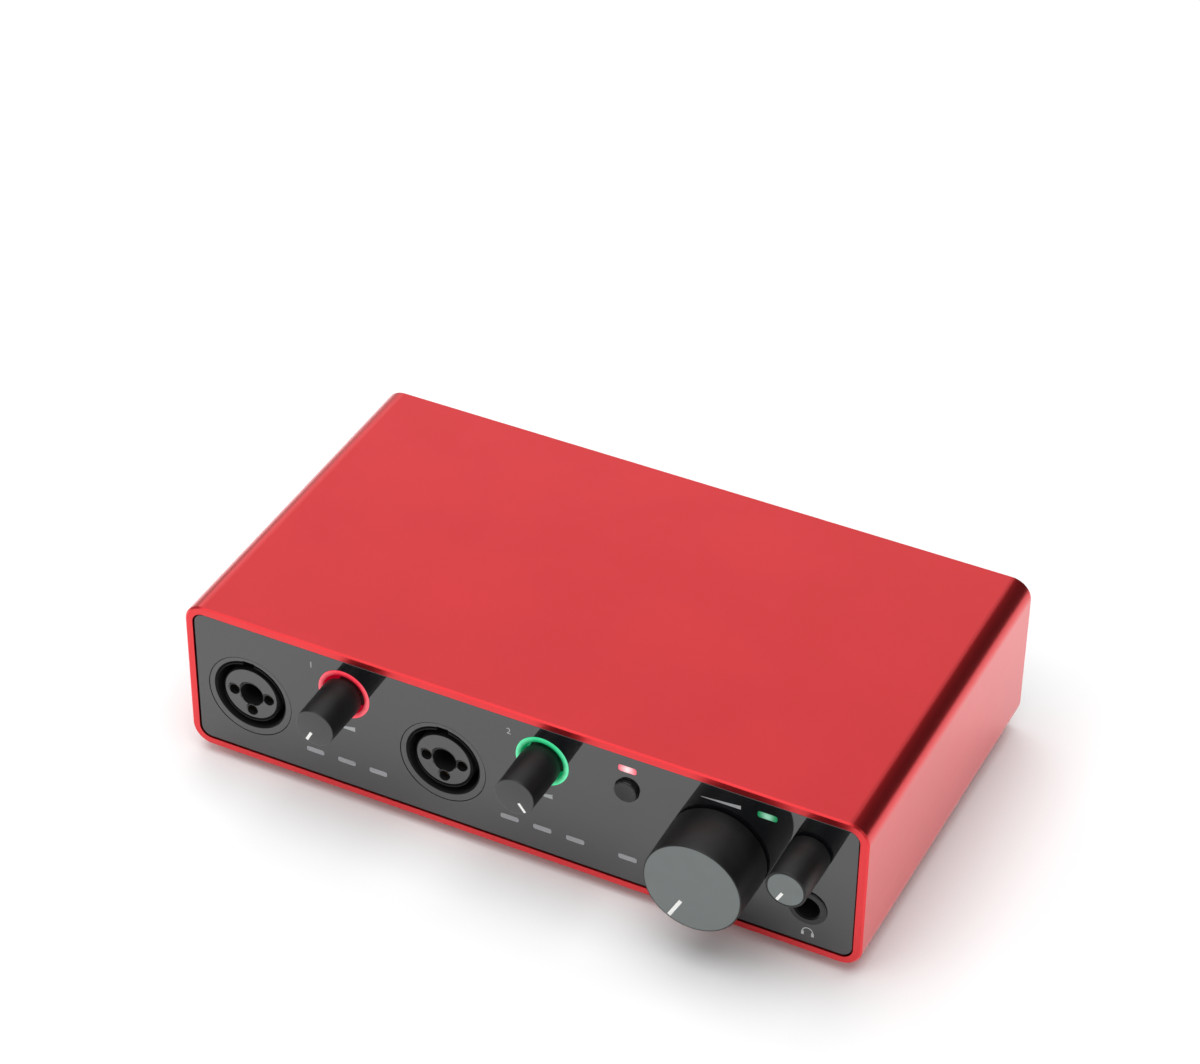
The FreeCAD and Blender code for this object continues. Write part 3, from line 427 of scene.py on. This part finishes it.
def join(name, pieces):
    """Makes several meshes one piece."""
    deselect()
    for piece in pieces:
        piece.select_set(True)
    bpy.context.view_layer.objects.active = pieces[0]
    bpy.ops.object.join()
    obj = bpy.context.object
    obj.name = obj.data.name = name
    return obj


def repeated(first, stem, places):
    """A piece and its copies, which stand from the first place as the other places do."""
    made = [first]
    for number, place in enumerate(places[1:], 2):
        copy = first.copy()
        copy.data = first.data.copy()
        copy.name = copy.data.name = f"{stem}_{number}"
        bpy.context.collection.objects.link(copy)
        copy.location = [there - here for here, there in zip(places[0], place)]
        settle(copy)
        made.append(copy)
    return made


def finish_piece(obj, body, slot, material, *nodes):
    """Gives a piece its body, its finish and the nodes that it stands for. Its slot is not used."""
    obj.data.materials.clear()
    obj.data.materials.append(material)
    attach(obj, body)
    if nodes:
        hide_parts(*nodes)


# ---------------------------------------------------------------- sizes, all from the frame
def middle(node):
    low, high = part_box(node)
    return (low + high) / 2


def reach(node):
    """A round node's radius."""
    low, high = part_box(node)
    return (high.x - low.x) / 2


PANEL_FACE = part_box("front_panel")[0].y
REAR_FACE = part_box("rear_panel")[1].y
JACK_GROUPS = (("line_output_", (1, 2, 3, 4)), ("line_input_", (3, 4)))


# ---------------------------------------------------------------- finishes for the CAD nodes
NICKEL = metal("nickel_plate", (0.62, 0.61, 0.58), 0.24)
TIN = metal("tin_plate", (0.66, 0.66, 0.67), 0.34)
STEEL = metal("zinc_plate", (0.5, 0.52, 0.55), 0.36, (0.1, 1, 1))
SCREW = metal("black_oxide", (0.16, 0.16, 0.17), 0.34)
BRASS = metal("plated_brass", (0.8, 0.62, 0.3), 0.25)
SHAFT = metal("turned_aluminium", (0.7, 0.7, 0.72), 0.3, (1, 12, 1))
KNOB = soft_black("knob_soft_black", 0.006, 0.42)
SOCKET = moulded("socket_black", (0.011, 0.011, 0.012), 0.36)
GAIN_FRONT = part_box("gain_1_knob")[0].y
POLISHED_DEPTH = 0.12 * MM      # how far round a gain knob's front rim the lacquer goes
GAIN_KNOB = soft_black("gain_knob_black", 0.006, 0.42, GAIN_FRONT + POLISHED_DEPTH)
WHITE = moulded("pointer_white", (0.82, 0.82, 0.8), 0.4)
LEGEND = moulded("legend_grey", (0.42, 0.43, 0.44), 0.5)
CASE = moulded("moulded_case", (0.02, 0.035, 0.03), 0.5)
BOARD = solder_mask()
PACKAGE = moulded("epoxy_black", (0.014, 0.014, 0.015), 0.55)
CAN = metal("capacitor_can", (0.5, 0.52, 0.56), 0.3)
WINDOW = moulded("window_smoke", (0.27, 0.27, 0.285), 0.3, 1200, 0.05)
LAMP = lit("lamp_lens", (1.0, 0.98, 0.9), (0.9, 0.85, 0.6), 1.0)

WINDOW_REACH = 2.8 * MM         # how far a window's lamp spreads
HALO_WIDTH = 1.25 * MM
CORE_RADIUS = 7.9 * MM          # the input socket's core, inside the groove for a plug's shell
GROOVE_RADIUS = 9.75 * MM       # the outside of that groove
CORE_LEAD_IN = 0.5 * MM
GROOVE_LEAD_IN = 0.55 * MM


def input_finish(node):
    """An input housing's finish, dull on the lead-ins to its groove and darkened there and down its
    holes with painted shade.
    """
    lead_in = (CORE_RADIUS - CORE_LEAD_IN, GROOVE_RADIUS + GROOVE_LEAD_IN)
    return socket_black(node + "_satin", tuple(middle(node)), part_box(node)[0].y, lead_in)


def lit_window(name, node, core, edge, strength):
    """A window's finish, whitest at the middle of its front."""
    front = middle(node)
    front.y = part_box(node)[0].y
    return lit(name, core, edge, strength, tuple(front), WINDOW_REACH)


WINDOW_RED = ((1.0, 0.8, 0.82), (0.85, 0.12, 0.17), 0.95)     # core, edge and strength
WINDOW_GREEN = ((0.5, 0.95, 0.72), (0.01, 0.3, 0.11), 0.62)
SLOT_FINISHES = {
    "red_shell": anodised_red(),
    "gloss_front": gloss_black(),
    "bracket_steel": STEEL,
    "rear_black": powder_coat(),
    "foot_rubber": rubber(),
    "screw_steel": SCREW,
    "input_plastic": SOCKET,
    "contact_metal": BRASS,
    "knob_black": KNOB,
    "pointer_white": WHITE,
    "shaft_metal": SHAFT,
    "pot_case": CASE,
    "ring_dark": SOCKET,
    "jack_plastic": SOCKET,
    "nut_metal": NICKEL,
    "button_grey": soft_black("button_satin", 0.012, 0.26),
    "plunger_white": WHITE,
    "switch_black": PACKAGE,
    "window_red": lit_window("window_red", "phantom_window", *WINDOW_RED),
    "window_green": lit_window("window_green", "link_window", *WINDOW_GREEN),
    "window_dim": WINDOW,
    "lamp_white": LAMP,
    "board_green": BOARD,
    "package_black": PACKAGE,
    "capacitor_can": CAN,
    "choke_grey": moulded("ferrite_grey", (0.05, 0.05, 0.052), 0.6),
    "tinned_steel": TIN,
}
HALO_COLOURS = {       # deep, bright and hot
    "halo_ring_1": ((0.3, 0.0, 0.01), (0.88, 0.04, 0.07), (1.0, 0.17, 0.21)),
    "halo_ring_2": ((0.0, 0.2, 0.06), (0.04, 0.62, 0.26), (0.18, 0.85, 0.48)),
}
FACE_TONES = {
    "monitor_face": (0.155, 0.172, 0.17),
    "phones_face": (0.155, 0.173, 0.171),
}
SLOT_OF = {entry["node"]: entry["material_slot"] for entry in frame["record"]["subparts"]}


def node_finish(node):
    """The finish of a CAD node."""
    if node in HALO_COLOURS:
        outer = reach(node)
        sizes = (tuple(middle(node)), outer - HALO_WIDTH, outer)
        return halo_light(node + "_light", *HALO_COLOURS[node], *sizes)
    if node in FACE_TONES:
        return satin_grey(node + "_satin", FACE_TONES[node], tuple(middle(node)))
    return SLOT_FINISHES[SLOT_OF[node]]


for name, obj in frame["nodes"].items():
    obj.data.materials.clear()
    obj.data.materials.append(node_finish(name))


def soften(node, width):
    """Breaks a CAD node's sharp edges: its triangles are joined up, then its edges are bevelled."""
    obj = frame["nodes"][node]
    obj.modifiers.new("Weld", "WELD").merge_threshold = WELD_REACH
    flat = obj.modifiers.new("Flat", "DECIMATE")
    flat.decimate_type = "DISSOLVE"
    flat.angle_limit = math.radians(FLAT_ANGLE)
    bevel = obj.modifiers.new("Edges", "BEVEL")
    bevel.width = width
    bevel.segments = 2
    bevel.limit_method = "ANGLE"
    bevel.angle_limit = math.radians(SHARP_ANGLE)


# ---------------------------------------------------------------- knobs
SHAFT_ROOM = 3.03 * MM
SHAFT_TIP_DEPTH = 1.8 * MM      # from a knob's front to the floor of its bore
KNOB_WALL = 1.3 * MM
KNOB_CROWN = 2.8 * MM           # from the front to the floor of the hollow round a hub
BASE_RECESS = 2.0 * MM
HUB_RECESS = 0.15 * MM
BASE_CHAMFER = 0.2 * MM
BASE_BAND = 1.5 * MM            # how far the barrel runs straight before its draft
BARREL_DRAFT = 0.15 * MM
RIM_STEPS = 5
GAIN_RIM = 0.35 * MM
DISC_RIM = 0.3 * MM             # the front rim of a knob that holds a face disc
MONITOR_HUB = 5.0 * MM
MONITOR_DISC_ROOM = 0.06 * MM
PHONES_DISC_ROOM = 0.05 * MM
DISC_EDGE = 0.12 * MM
SEAT_DEPTH = 0.8 * MM           # how deep a face disc is let in


def rim(radius, face, edge):
    """The points of a rounded front rim, from the barrel round to the face."""
    turns = [math.pi / 2 * step / RIM_STEPS for step in range(RIM_STEPS + 1)]
    return [
        (radius - edge + edge * math.cos(turn), face + edge - edge * math.sin(turn))
        for turn in turns
    ]


def knob_profile(face, base, radius, hub, edge):
    """The outline of a knob: the shaft's bore, the hollow base, the barrel and the front rim.

    With a hub, the base is hollow round it up to the crown. Without one, it has a shallow recess.
    """
    inside = radius - KNOB_WALL
    if hub:
        hollow = [
            (SHAFT_ROOM, base - HUB_RECESS),
            (hub, base - HUB_RECESS),
            (hub, face + KNOB_CROWN),
            (inside, face + KNOB_CROWN),
        ]
    else:
        hollow = [(SHAFT_ROOM, base - BASE_RECESS), (inside, base - BASE_RECESS)]
    return [
        (SHAFT_ROOM, face + SHAFT_TIP_DEPTH),
        *hollow,
        (inside, base),
        (radius - BASE_CHAMFER, base),
        (radius, base - BASE_CHAMFER),
        (radius, base - BASE_BAND),
        *rim(radius - BARREL_DRAFT, face, edge),
    ]


def copied(node, name):
    """A free copy of a CAD node's mesh, with its triangles joined up."""
    deselect()
    obj = bpy.data.objects.new(name, frame["nodes"][node].data.copy())
    bpy.context.collection.objects.link(obj)
    obj.select_set(True)
    bpy.context.view_layer.objects.active = obj
    edit()
    bpy.ops.mesh.select_all(action="SELECT")
    bpy.ops.mesh.remove_doubles(threshold=DOUBLES / 2)
    leave_edit()
    bpy.ops.mesh.customdata_custom_splitnormals_clear()
    return obj


def knob(body, hub, edge, seat, material):
    """A knob with a seat for its face disc, or with its pointer let into its own front."""
    node = body + "_knob"
    low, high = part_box(node)
    outline = knob_profile(low.y, high.y, reach(node), hub, edge)
    if seat:
        outline += [(seat, low.y), (seat, low.y + SEAT_DEPTH)]
    obj = turned(node + "_turned", middle(node), outline)
    if not seat:
        cut(obj, copied(body + "_pointer", "slot_cutter"))
    tidy_mesh(obj)
    finish_piece(obj, body, "knob_black", material, node)


def knobs():
    """The four knobs. The gain knobs' fronts have a share of the panel's lacquer."""
    for body in ("gain_1", "gain_2"):
        knob(body, 0, GAIN_RIM, 0, GAIN_KNOB)
    knob("monitor", MONITOR_HUB, DISC_RIM, reach("monitor_face") + MONITOR_DISC_ROOM, KNOB)
    knob("phones", 0, DISC_RIM, reach("phones_face") + PHONES_DISC_ROOM, KNOB)
    for node in FACE_TONES:
        soften(node, DISC_EDGE)


# ---------------------------------------------------------------- feet
FOOT_RADIUS = 8 * MM
FOOT_CUP = [(3.0, 0.9), (4.2, 0.9), (4.6, 0.5), (4.9, 0.0)]     # mm from the axis and from the floor
FOOT_SOLE = [(1.2, 0.0), (0.8, 0.1), (0.5, 0.45), (0.4, 1.0)]   # mm in from the rim, up from the floor
FOOT_FLANGE = [(0.35, 0.9), (0.05, 0.75), (0.0, 0.55), (0.0, 0.0)]  # mm in from the rim, below the top


def feet():
    """Four moulded rubber feet: a rounded sole with a shallow cup in it, under a wider flange."""
    low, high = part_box("rubber_feet")
    outline = [(out * MM, up * MM) for out, up in FOOT_CUP]
    outline += [(FOOT_RADIUS - inward * MM, up * MM) for inward, up in FOOT_SOLE]
    outline += [(FOOT_RADIUS - inward * MM, high.z - down * MM) for inward, down in FOOT_FLANGE]
    across = (low.x + FOOT_RADIUS, high.x - FOOT_RADIUS)
    along = (low.y + FOOT_RADIUS, high.y - FOOT_RADIUS)
    places = [(x, y, 0) for x in across for y in along]
    first = turned("foot_1", places[0], outline, "Z")
    for foot in repeated(first, "foot", places):
        finish_piece(foot, "chassis", "foot_rubber", SLOT_FINISHES["foot_rubber"], "rubber_feet")


# ---------------------------------------------------------------- jack nuts
NUT_WALL = 0.96 * MM            # from a nut's bore to its flats
TURNING_PAST = 1.4 * MM         # how far the turning that rounds the corners stands past the flats
TURNING_DROP = 0.9 * MM         # from the nut's top down to where its cone starts
TURNING_CLIP = 0.15 * MM        # from the flats in to where its cone meets the top
COUNTERSINK = 0.25 * MM
SPARE = 0.5 * MM                # what a cutter stands past the metal


def jack_nuts():
    """Six hexagon nuts with turned corners and a countersunk bore."""
    low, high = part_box("jack_nuts")
    places = [middle(stem + str(number)) for stem, numbers in JACK_GROUPS for number in numbers]
    across = [place.x for place in places]
    corner = (high.x - low.x - max(across) + min(across)) / 2
    inside = corner * math.cos(math.pi / 6)
    bore = inside - NUT_WALL
    axis = (places[0].x, 0, (low.z + high.z) / 2)
    deselect()
    bpy.ops.mesh.primitive_cylinder_add(
        vertices=6,
        radius=corner,
        depth=high.y - low.y,
        location=(axis[0], (low.y + high.y) / 2, axis[2]),
        rotation=(math.pi / 2, math.pi / 6, 0),
    )
    nut = bpy.context.object
    nut.name = nut.data.name = "jack_nut_1"
    settle(nut)
    blank = [
        (inside + TURNING_PAST, low.y - SPARE),
        (inside + TURNING_PAST, high.y - TURNING_DROP),
        (inside - TURNING_CLIP, high.y),
    ]
    drill = [
        (bore, low.y - SPARE),
        (bore, high.y - COUNTERSINK),
        (bore + COUNTERSINK + SPARE, high.y + SPARE),
    ]
    turning = turned("nut_turning", axis, blank)
    apply_modifier(nut, "BOOLEAN", operation="INTERSECT", object=turning, solver="EXACT")
    bpy.data.objects.remove(turning)
    cut(nut, turned("nut_drill", axis, drill, sides=SMALL_ROUND))
    tidy_mesh(nut)
    for piece in repeated(nut, "jack_nut", places):
        finish_piece(piece, "chassis", "nut_metal", NICKEL, "jack_nuts")


# ---------------------------------------------------------------- input sockets
PIN_CIRCLE = 4.95 * MM
PIN_HOLE = 1.4 * MM
PIN_ANGLES = (0, 180, 270)
PIN_SINK = 0.35 * MM            # how far a mouth is broken round its hole, and down it
PLUG_HOLE = 3.25 * MM
PLUG_SINK = 0.45 * MM
CORE_SETBACK = 0.4 * MM         # from the housing's front to the core's
MOUTH_SPARE = 0.01 * MM
LEAD_IN_SPARE = 0.05 * MM


def input_fronts():
    """The input housings, with sunk mouths, and lead-ins on both sides of the groove."""
    for number in (1, 2):
        node = f"input_{number}_housing"
        centre = middle(node)
        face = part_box(node)[0].y
        core = face + CORE_SETBACK
        obj = copied(node, node + "_finished")
        mouths = [(0, 0, PLUG_HOLE, PLUG_SINK)]
        for angle in PIN_ANGLES:
            turn = math.radians(angle)
            x, z = PIN_CIRCLE * math.cos(turn), PIN_CIRCLE * math.sin(turn)
            mouths.append((x, z, PIN_HOLE, PIN_SINK))
        cutters = []
        for x, z, radius, sink in mouths:
            outline = [(radius + sink, core - MOUTH_SPARE), (radius, core + sink)]
            place = (centre.x + x, 0, centre.z + z)
            cutters.append(turned("mouth_cutter", place, outline, sides=SMALL_ROUND))
        axis = (centre.x, 0, centre.z)
        cutters.append(lead_in_cutter(axis, CORE_RADIUS, core, -CORE_LEAD_IN))
        cutters.append(lead_in_cutter(axis, GROOVE_RADIUS, face, GROOVE_LEAD_IN))
        cut(obj, *cutters)
        tidy_mesh(obj)
        finish_piece(obj, "chassis", "input_plastic", input_finish(node), node)


def lead_in_cutter(axis, wall, face, width):
    """A ring that breaks the edge between a face and a round wall, inwards if width is under 0."""
    side = math.copysign(LEAD_IN_SPARE, width)
    start = (wall - side, face - LEAD_IN_SPARE)
    outline = [
        start,
        (wall + width + side, face - LEAD_IN_SPARE),
        (wall - side, face + abs(width) + LEAD_IN_SPARE),
        start,
    ]
    return turned("lead_in_cutter", axis, outline)


# ---------------------------------------------------------------- printed marks
PRINT_SINK = 0.01 * MM
PRINT_RISE = 0.015 * MM
CAPITAL_SHARE = 0.73            # how high a numeral is for its font size
CURVE_STEPS = 6
ARC_STEPS = 24
WEDGE_TAPER = 0.12              # a level wedge's low end as a share of its high end
CHANNEL_LEFT = 9.1 * MM         # a channel number's place from its gain knob's axis, and its height
CHANNEL_UP = 5.9 * MM
CHANNEL_HEIGHT = 1.9 * MM
GAIN_WEDGE_DOWN = 10.4 * MM
GAIN_WEDGE = (5.6 * MM, 1.4 * MM)
MONITOR_WEDGE = (10.3 * MM, 1.1 * MM)
BAND = (1.25 * MM, 1.5 * MM)    # the headphones' band, inside and outside
CUSHION_OUT = 1.3 * MM
CUSHION_DOWN = 0.45 * MM
CUSHION = (0.7 * MM, 1.2 * MM)
HEADPHONES_RIGHT = 0.4 * MM     # the headphone mark's place from the jack
HEADPHONES_DOWN = 8.0 * MM
JACK_NUMBER_UP = 9.4 * MM
JACK_NUMBER_HEIGHT = 2.2 * MM
RULE_UP = 12.4 * MM
RULE_PAST = 5.5 * MM            # how far a rule runs past the outer jacks of its group
RULE_HEIGHT = 0.3 * MM
FIVE_POLE_RULE = 17 * MM


def printed(obj, y, toward):
    """Gives flat artwork, drawn facing the front, a film's thickness on a face at y."""
    deselect()
    obj.select_set(True)
    bpy.context.view_layer.objects.active = obj
    edit()
    bpy.ops.mesh.select_all(action="SELECT")
    bpy.ops.mesh.extrude_region_move(
        TRANSFORM_OT_translate={"value": (0, toward * (PRINT_SINK + PRINT_RISE), 0)}
    )
    bpy.ops.mesh.select_all(action="SELECT")
    bpy.ops.transform.translate(value=(0, y - toward * PRINT_SINK, 0))
    leave_edit()
    return tidy_mesh(obj)


def numeral(text, x, z, height, toward=-1):
    """A plain numeral, upright and facing the front or the rear."""
    deselect()
    facing = 0 if toward < 0 else math.pi
    bpy.ops.object.text_add(location=(x, 0, z), rotation=(math.pi / 2, 0, facing))
    obj = bpy.context.object
    obj.data.body = text
    obj.data.size = height / CAPITAL_SHARE
    obj.data.align_x = "CENTER"
    obj.data.align_y = "CENTER"
    obj.data.resolution_u = CURVE_STEPS
    bpy.ops.object.convert(target="MESH")
    settle(obj)
    edit()
    bpy.ops.mesh.select_all(action="SELECT")
    bpy.ops.mesh.beautify_fill()        # leaves no triangle without an area
    leave_edit()
    return obj


def patch(x, z, width, height, taper=1.0):
    """A flat bar about (x, z). With a taper below 1 its left end is that much lower."""
    deselect()
    bpy.ops.mesh.primitive_plane_add(size=1, location=(x, 0, z), rotation=(math.pi / 2, 0, 0))
    obj = bpy.context.object
    settle(obj)
    edit()
    bpy.ops.mesh.select_all(action="SELECT")
    bpy.ops.transform.resize(value=(width, 1, height), center_override=(x, 0, z))
    leave_edit()
    if taper < 1:
        for corner in obj.data.vertices:
            if corner.co.x < x and corner.co.z > z:
                corner.co.z = z - height / 2 + taper * height
    return obj


def half_ring(x, z, inner, outer):
    """A flat half ring about (x, z), open downwards."""
    deselect()
    bpy.ops.mesh.primitive_plane_add(size=1, location=(0, 0, 0))
    obj = bpy.context.object
    edit()
    bpy.ops.mesh.select_all(action="SELECT")
    bpy.ops.mesh.delete(type="VERT")
    leave_edit()
    obj.data.vertices.add(2)
    for corner, radius in zip(obj.data.vertices, (inner, outer)):
        corner.co = (x + radius, 0, z)
    obj.data.edges.add(1)
    obj.data.edges[0].vertices = (0, 1)
    edit()
    bpy.ops.mesh.select_all(action="SELECT")
    bpy.ops.mesh.spin(steps=ARC_STEPS, angle=math.pi, center=(x, 0, z), axis=(0, 1, 0))
    leave_edit()
    return obj


def headphone_mark(x, z):
    """Headphones: a band over the head and a cushion at each end."""
    parts = [half_ring(x, z, *BAND)]
    for side in (-1, 1):
        parts.append(patch(x + side * CUSHION_OUT, z - CUSHION_DOWN, *CUSHION))
    return parts


def front_print():
    """The marks on the panel: channel numbers, a level wedge for three knobs and headphones."""
    marks = []
    for number, node in enumerate(("halo_ring_1", "halo_ring_2"), 1):
        ring = middle(node)
        place = (ring.x - CHANNEL_LEFT, ring.z + CHANNEL_UP)
        marks.append(numeral(str(number), *place, CHANNEL_HEIGHT))
        marks.append(patch(ring.x, ring.z - GAIN_WEDGE_DOWN, *GAIN_WEDGE, WEDGE_TAPER))
    wedge_up = middle("link_window").z
    marks.append(patch(middle("monitor_knob").x, wedge_up, *MONITOR_WEDGE, WEDGE_TAPER))
    jack = middle("phones_jack_ring")
    marks += headphone_mark(jack.x + HEADPHONES_RIGHT, jack.z - HEADPHONES_DOWN)
    obj = printed(join("front_print", marks), PANEL_FACE, -1)
    finish_piece(obj, "chassis", "pointer_white", LEGEND)


def rear_print():
    """The numbers over the rear jacks, and a rule over each group and each five-pole socket."""
    marks = []
    for stem, numbers in JACK_GROUPS:
        places = [middle(stem + str(number)) for number in numbers]
        for number, place in zip(numbers, places):
            up = place.z + JACK_NUMBER_UP
            marks.append(numeral(str(number), place.x, up, JACK_NUMBER_HEIGHT, 1))
        left = min(place.x for place in places) - RULE_PAST
        right = max(place.x for place in places) + RULE_PAST
        rule_up = places[0].z + RULE_UP
        marks.append(patch((left + right) / 2, rule_up, right - left, RULE_HEIGHT))
    for node in ("midi_in_socket", "midi_out_socket"):
        place = middle(node)
        marks.append(patch(place.x, place.z + RULE_UP, FIVE_POLE_RULE, RULE_HEIGHT))
    obj = printed(join("rear_print", marks), REAR_FACE, 1)
    finish_piece(obj, "chassis", "pointer_white", LEGEND)


# ---------------------------------------------------------------- camera, floor and lights
CAMERA_PLACE = (0.30762, -0.62883, 0.60725)
CAMERA_TURN = (52.5556, -0.5694, 26.4793)       # degrees
CAMERA_LENS = 108.443                           # mm
CAMERA_SENSOR = 36.0                            # mm
FLOOR_SIZE = 8                                  # metres, as are the lights' places and sizes
PANELS = {      # place across, place along and width
    "left_panel": (-2.4, 0.2, 4.2),
    "right_panel": (2.4, -1.2, 2.8),
    "near_panel": (0, -2.5, 4.6),
    "far_panel": (-0.9, 2.5, 3.0),
}
PANEL_MIDDLE = 0.8
PANEL_HEIGHT = 1.4
PANEL_POWER = 1.9       # watts for each metre of width
AIM_OUT = 0.25          # a panel aims this share of the way out to itself
AIM_UP = 0.05
SOFTBOXES = {   # place, target, size and watts
    "overhead_light": ((0.0, -0.15, 1.9), (0, 0, 0), (2.0, 2.0), 34),
    "back_light": ((-0.75, 1.35, 1.2), (0, 0, 0.04), (1.5, 1.1), 4.0),
    "front_light": ((-0.8, -1.5, 1.5), (0, 0, 0.02), (1.6, 1.0), 6),
}


def camera():
    bpy.ops.object.camera_add(
        location=CAMERA_PLACE, rotation=[math.radians(angle) for angle in CAMERA_TURN]
    )
    made = bpy.context.object
    made.data.lens = CAMERA_LENS
    made.data.sensor_width = CAMERA_SENSOR
    bpy.context.scene.camera = made


def floor():
    """A wide, plain, pale floor."""
    deselect()
    bpy.ops.mesh.primitive_plane_add(size=FLOOR_SIZE, location=(0, 0, 0))
    made = bpy.context.object
    made.name = "floor"
    tone = (0.93, 0.93, 0.93)
    pale = Finish("pale_floor", base_color=tone, roughness=0.9, specular_ior_level=0.1)
    made.data.materials.append(pale.material)


def softbox(name, place, target, size, power):
    """A large soft light that faces a point."""
    facing = (Vector(target) - Vector(place)).to_track_quat("-Z", "Y").to_euler()
    bpy.ops.object.light_add(type="AREA", location=place, rotation=facing)
    made = bpy.context.object
    made.name = name
    made.data.shape = "RECTANGLE"
    made.data.size, made.data.size_y = size
    made.data.energy = power
    made.visible_camera = False


def room(mirrored, fill, backdrop):
    """Walls that look dim in a mirror, light matt surfaces evenly and stand bright behind."""
    made = bpy.data.worlds.new("studio")
    made.use_nodes = True
    tree = made.node_tree
    path = tree.nodes.new("ShaderNodeLightPath")
    walls = tree.nodes["Background"]
    walls.inputs["Strength"].default_value = mirrored
    for ray, strength in (("Is Diffuse Ray", fill), ("Is Camera Ray", backdrop)):
        other = tree.nodes.new("ShaderNodeBackground")
        blend = tree.nodes.new("ShaderNodeMixShader")
        for light in (walls, other):
            if light.type == "BACKGROUND":
                light.inputs["Color"].default_value = (1, 1, 1, 1)
        other.inputs["Strength"].default_value = strength
        tree.links.new(path.outputs[ray], blend.inputs[0])
        tree.links.new(walls.outputs[0], blend.inputs[1])
        tree.links.new(other.outputs[0], blend.inputs[2])
        walls = blend
    tree.links.new(walls.outputs[0], tree.nodes["World Output"].inputs["Surface"])
    bpy.context.scene.world = made


def studio():
    """Light from above, behind and in front, and low panels for the sides to mirror."""
    room(mirrored=0.08, fill=0.3, backdrop=1.0)
    for name, (x, y, width) in PANELS.items():
        target = (AIM_OUT * x, AIM_OUT * y, AIM_UP)
        size = (width, PANEL_HEIGHT)
        softbox(name, (x, y, PANEL_MIDDLE), target, size, PANEL_POWER * width)
    for name, settings in SOFTBOXES.items():
        softbox(name, *settings)
    bpy.context.scene.view_settings.view_transform = "Standard"


# ---------------------------------------------------------------- the object
EDGES = {       # how wide each node's sharp edges are broken, in millimetres
    "front_panel": 0.1,
    "rear_panel": 0.1,
    "phantom_button": 0.15,
    "phones_jack_ring": 0.09,
    "halo_ring_1": 0.08,
    "halo_ring_2": 0.08,
}
camera()
floor()
studio()
for node_name, width in EDGES.items():
    soften(node_name, width * MM)
knobs()
feet()
jack_nuts()
input_fronts()
front_print()
rear_print()
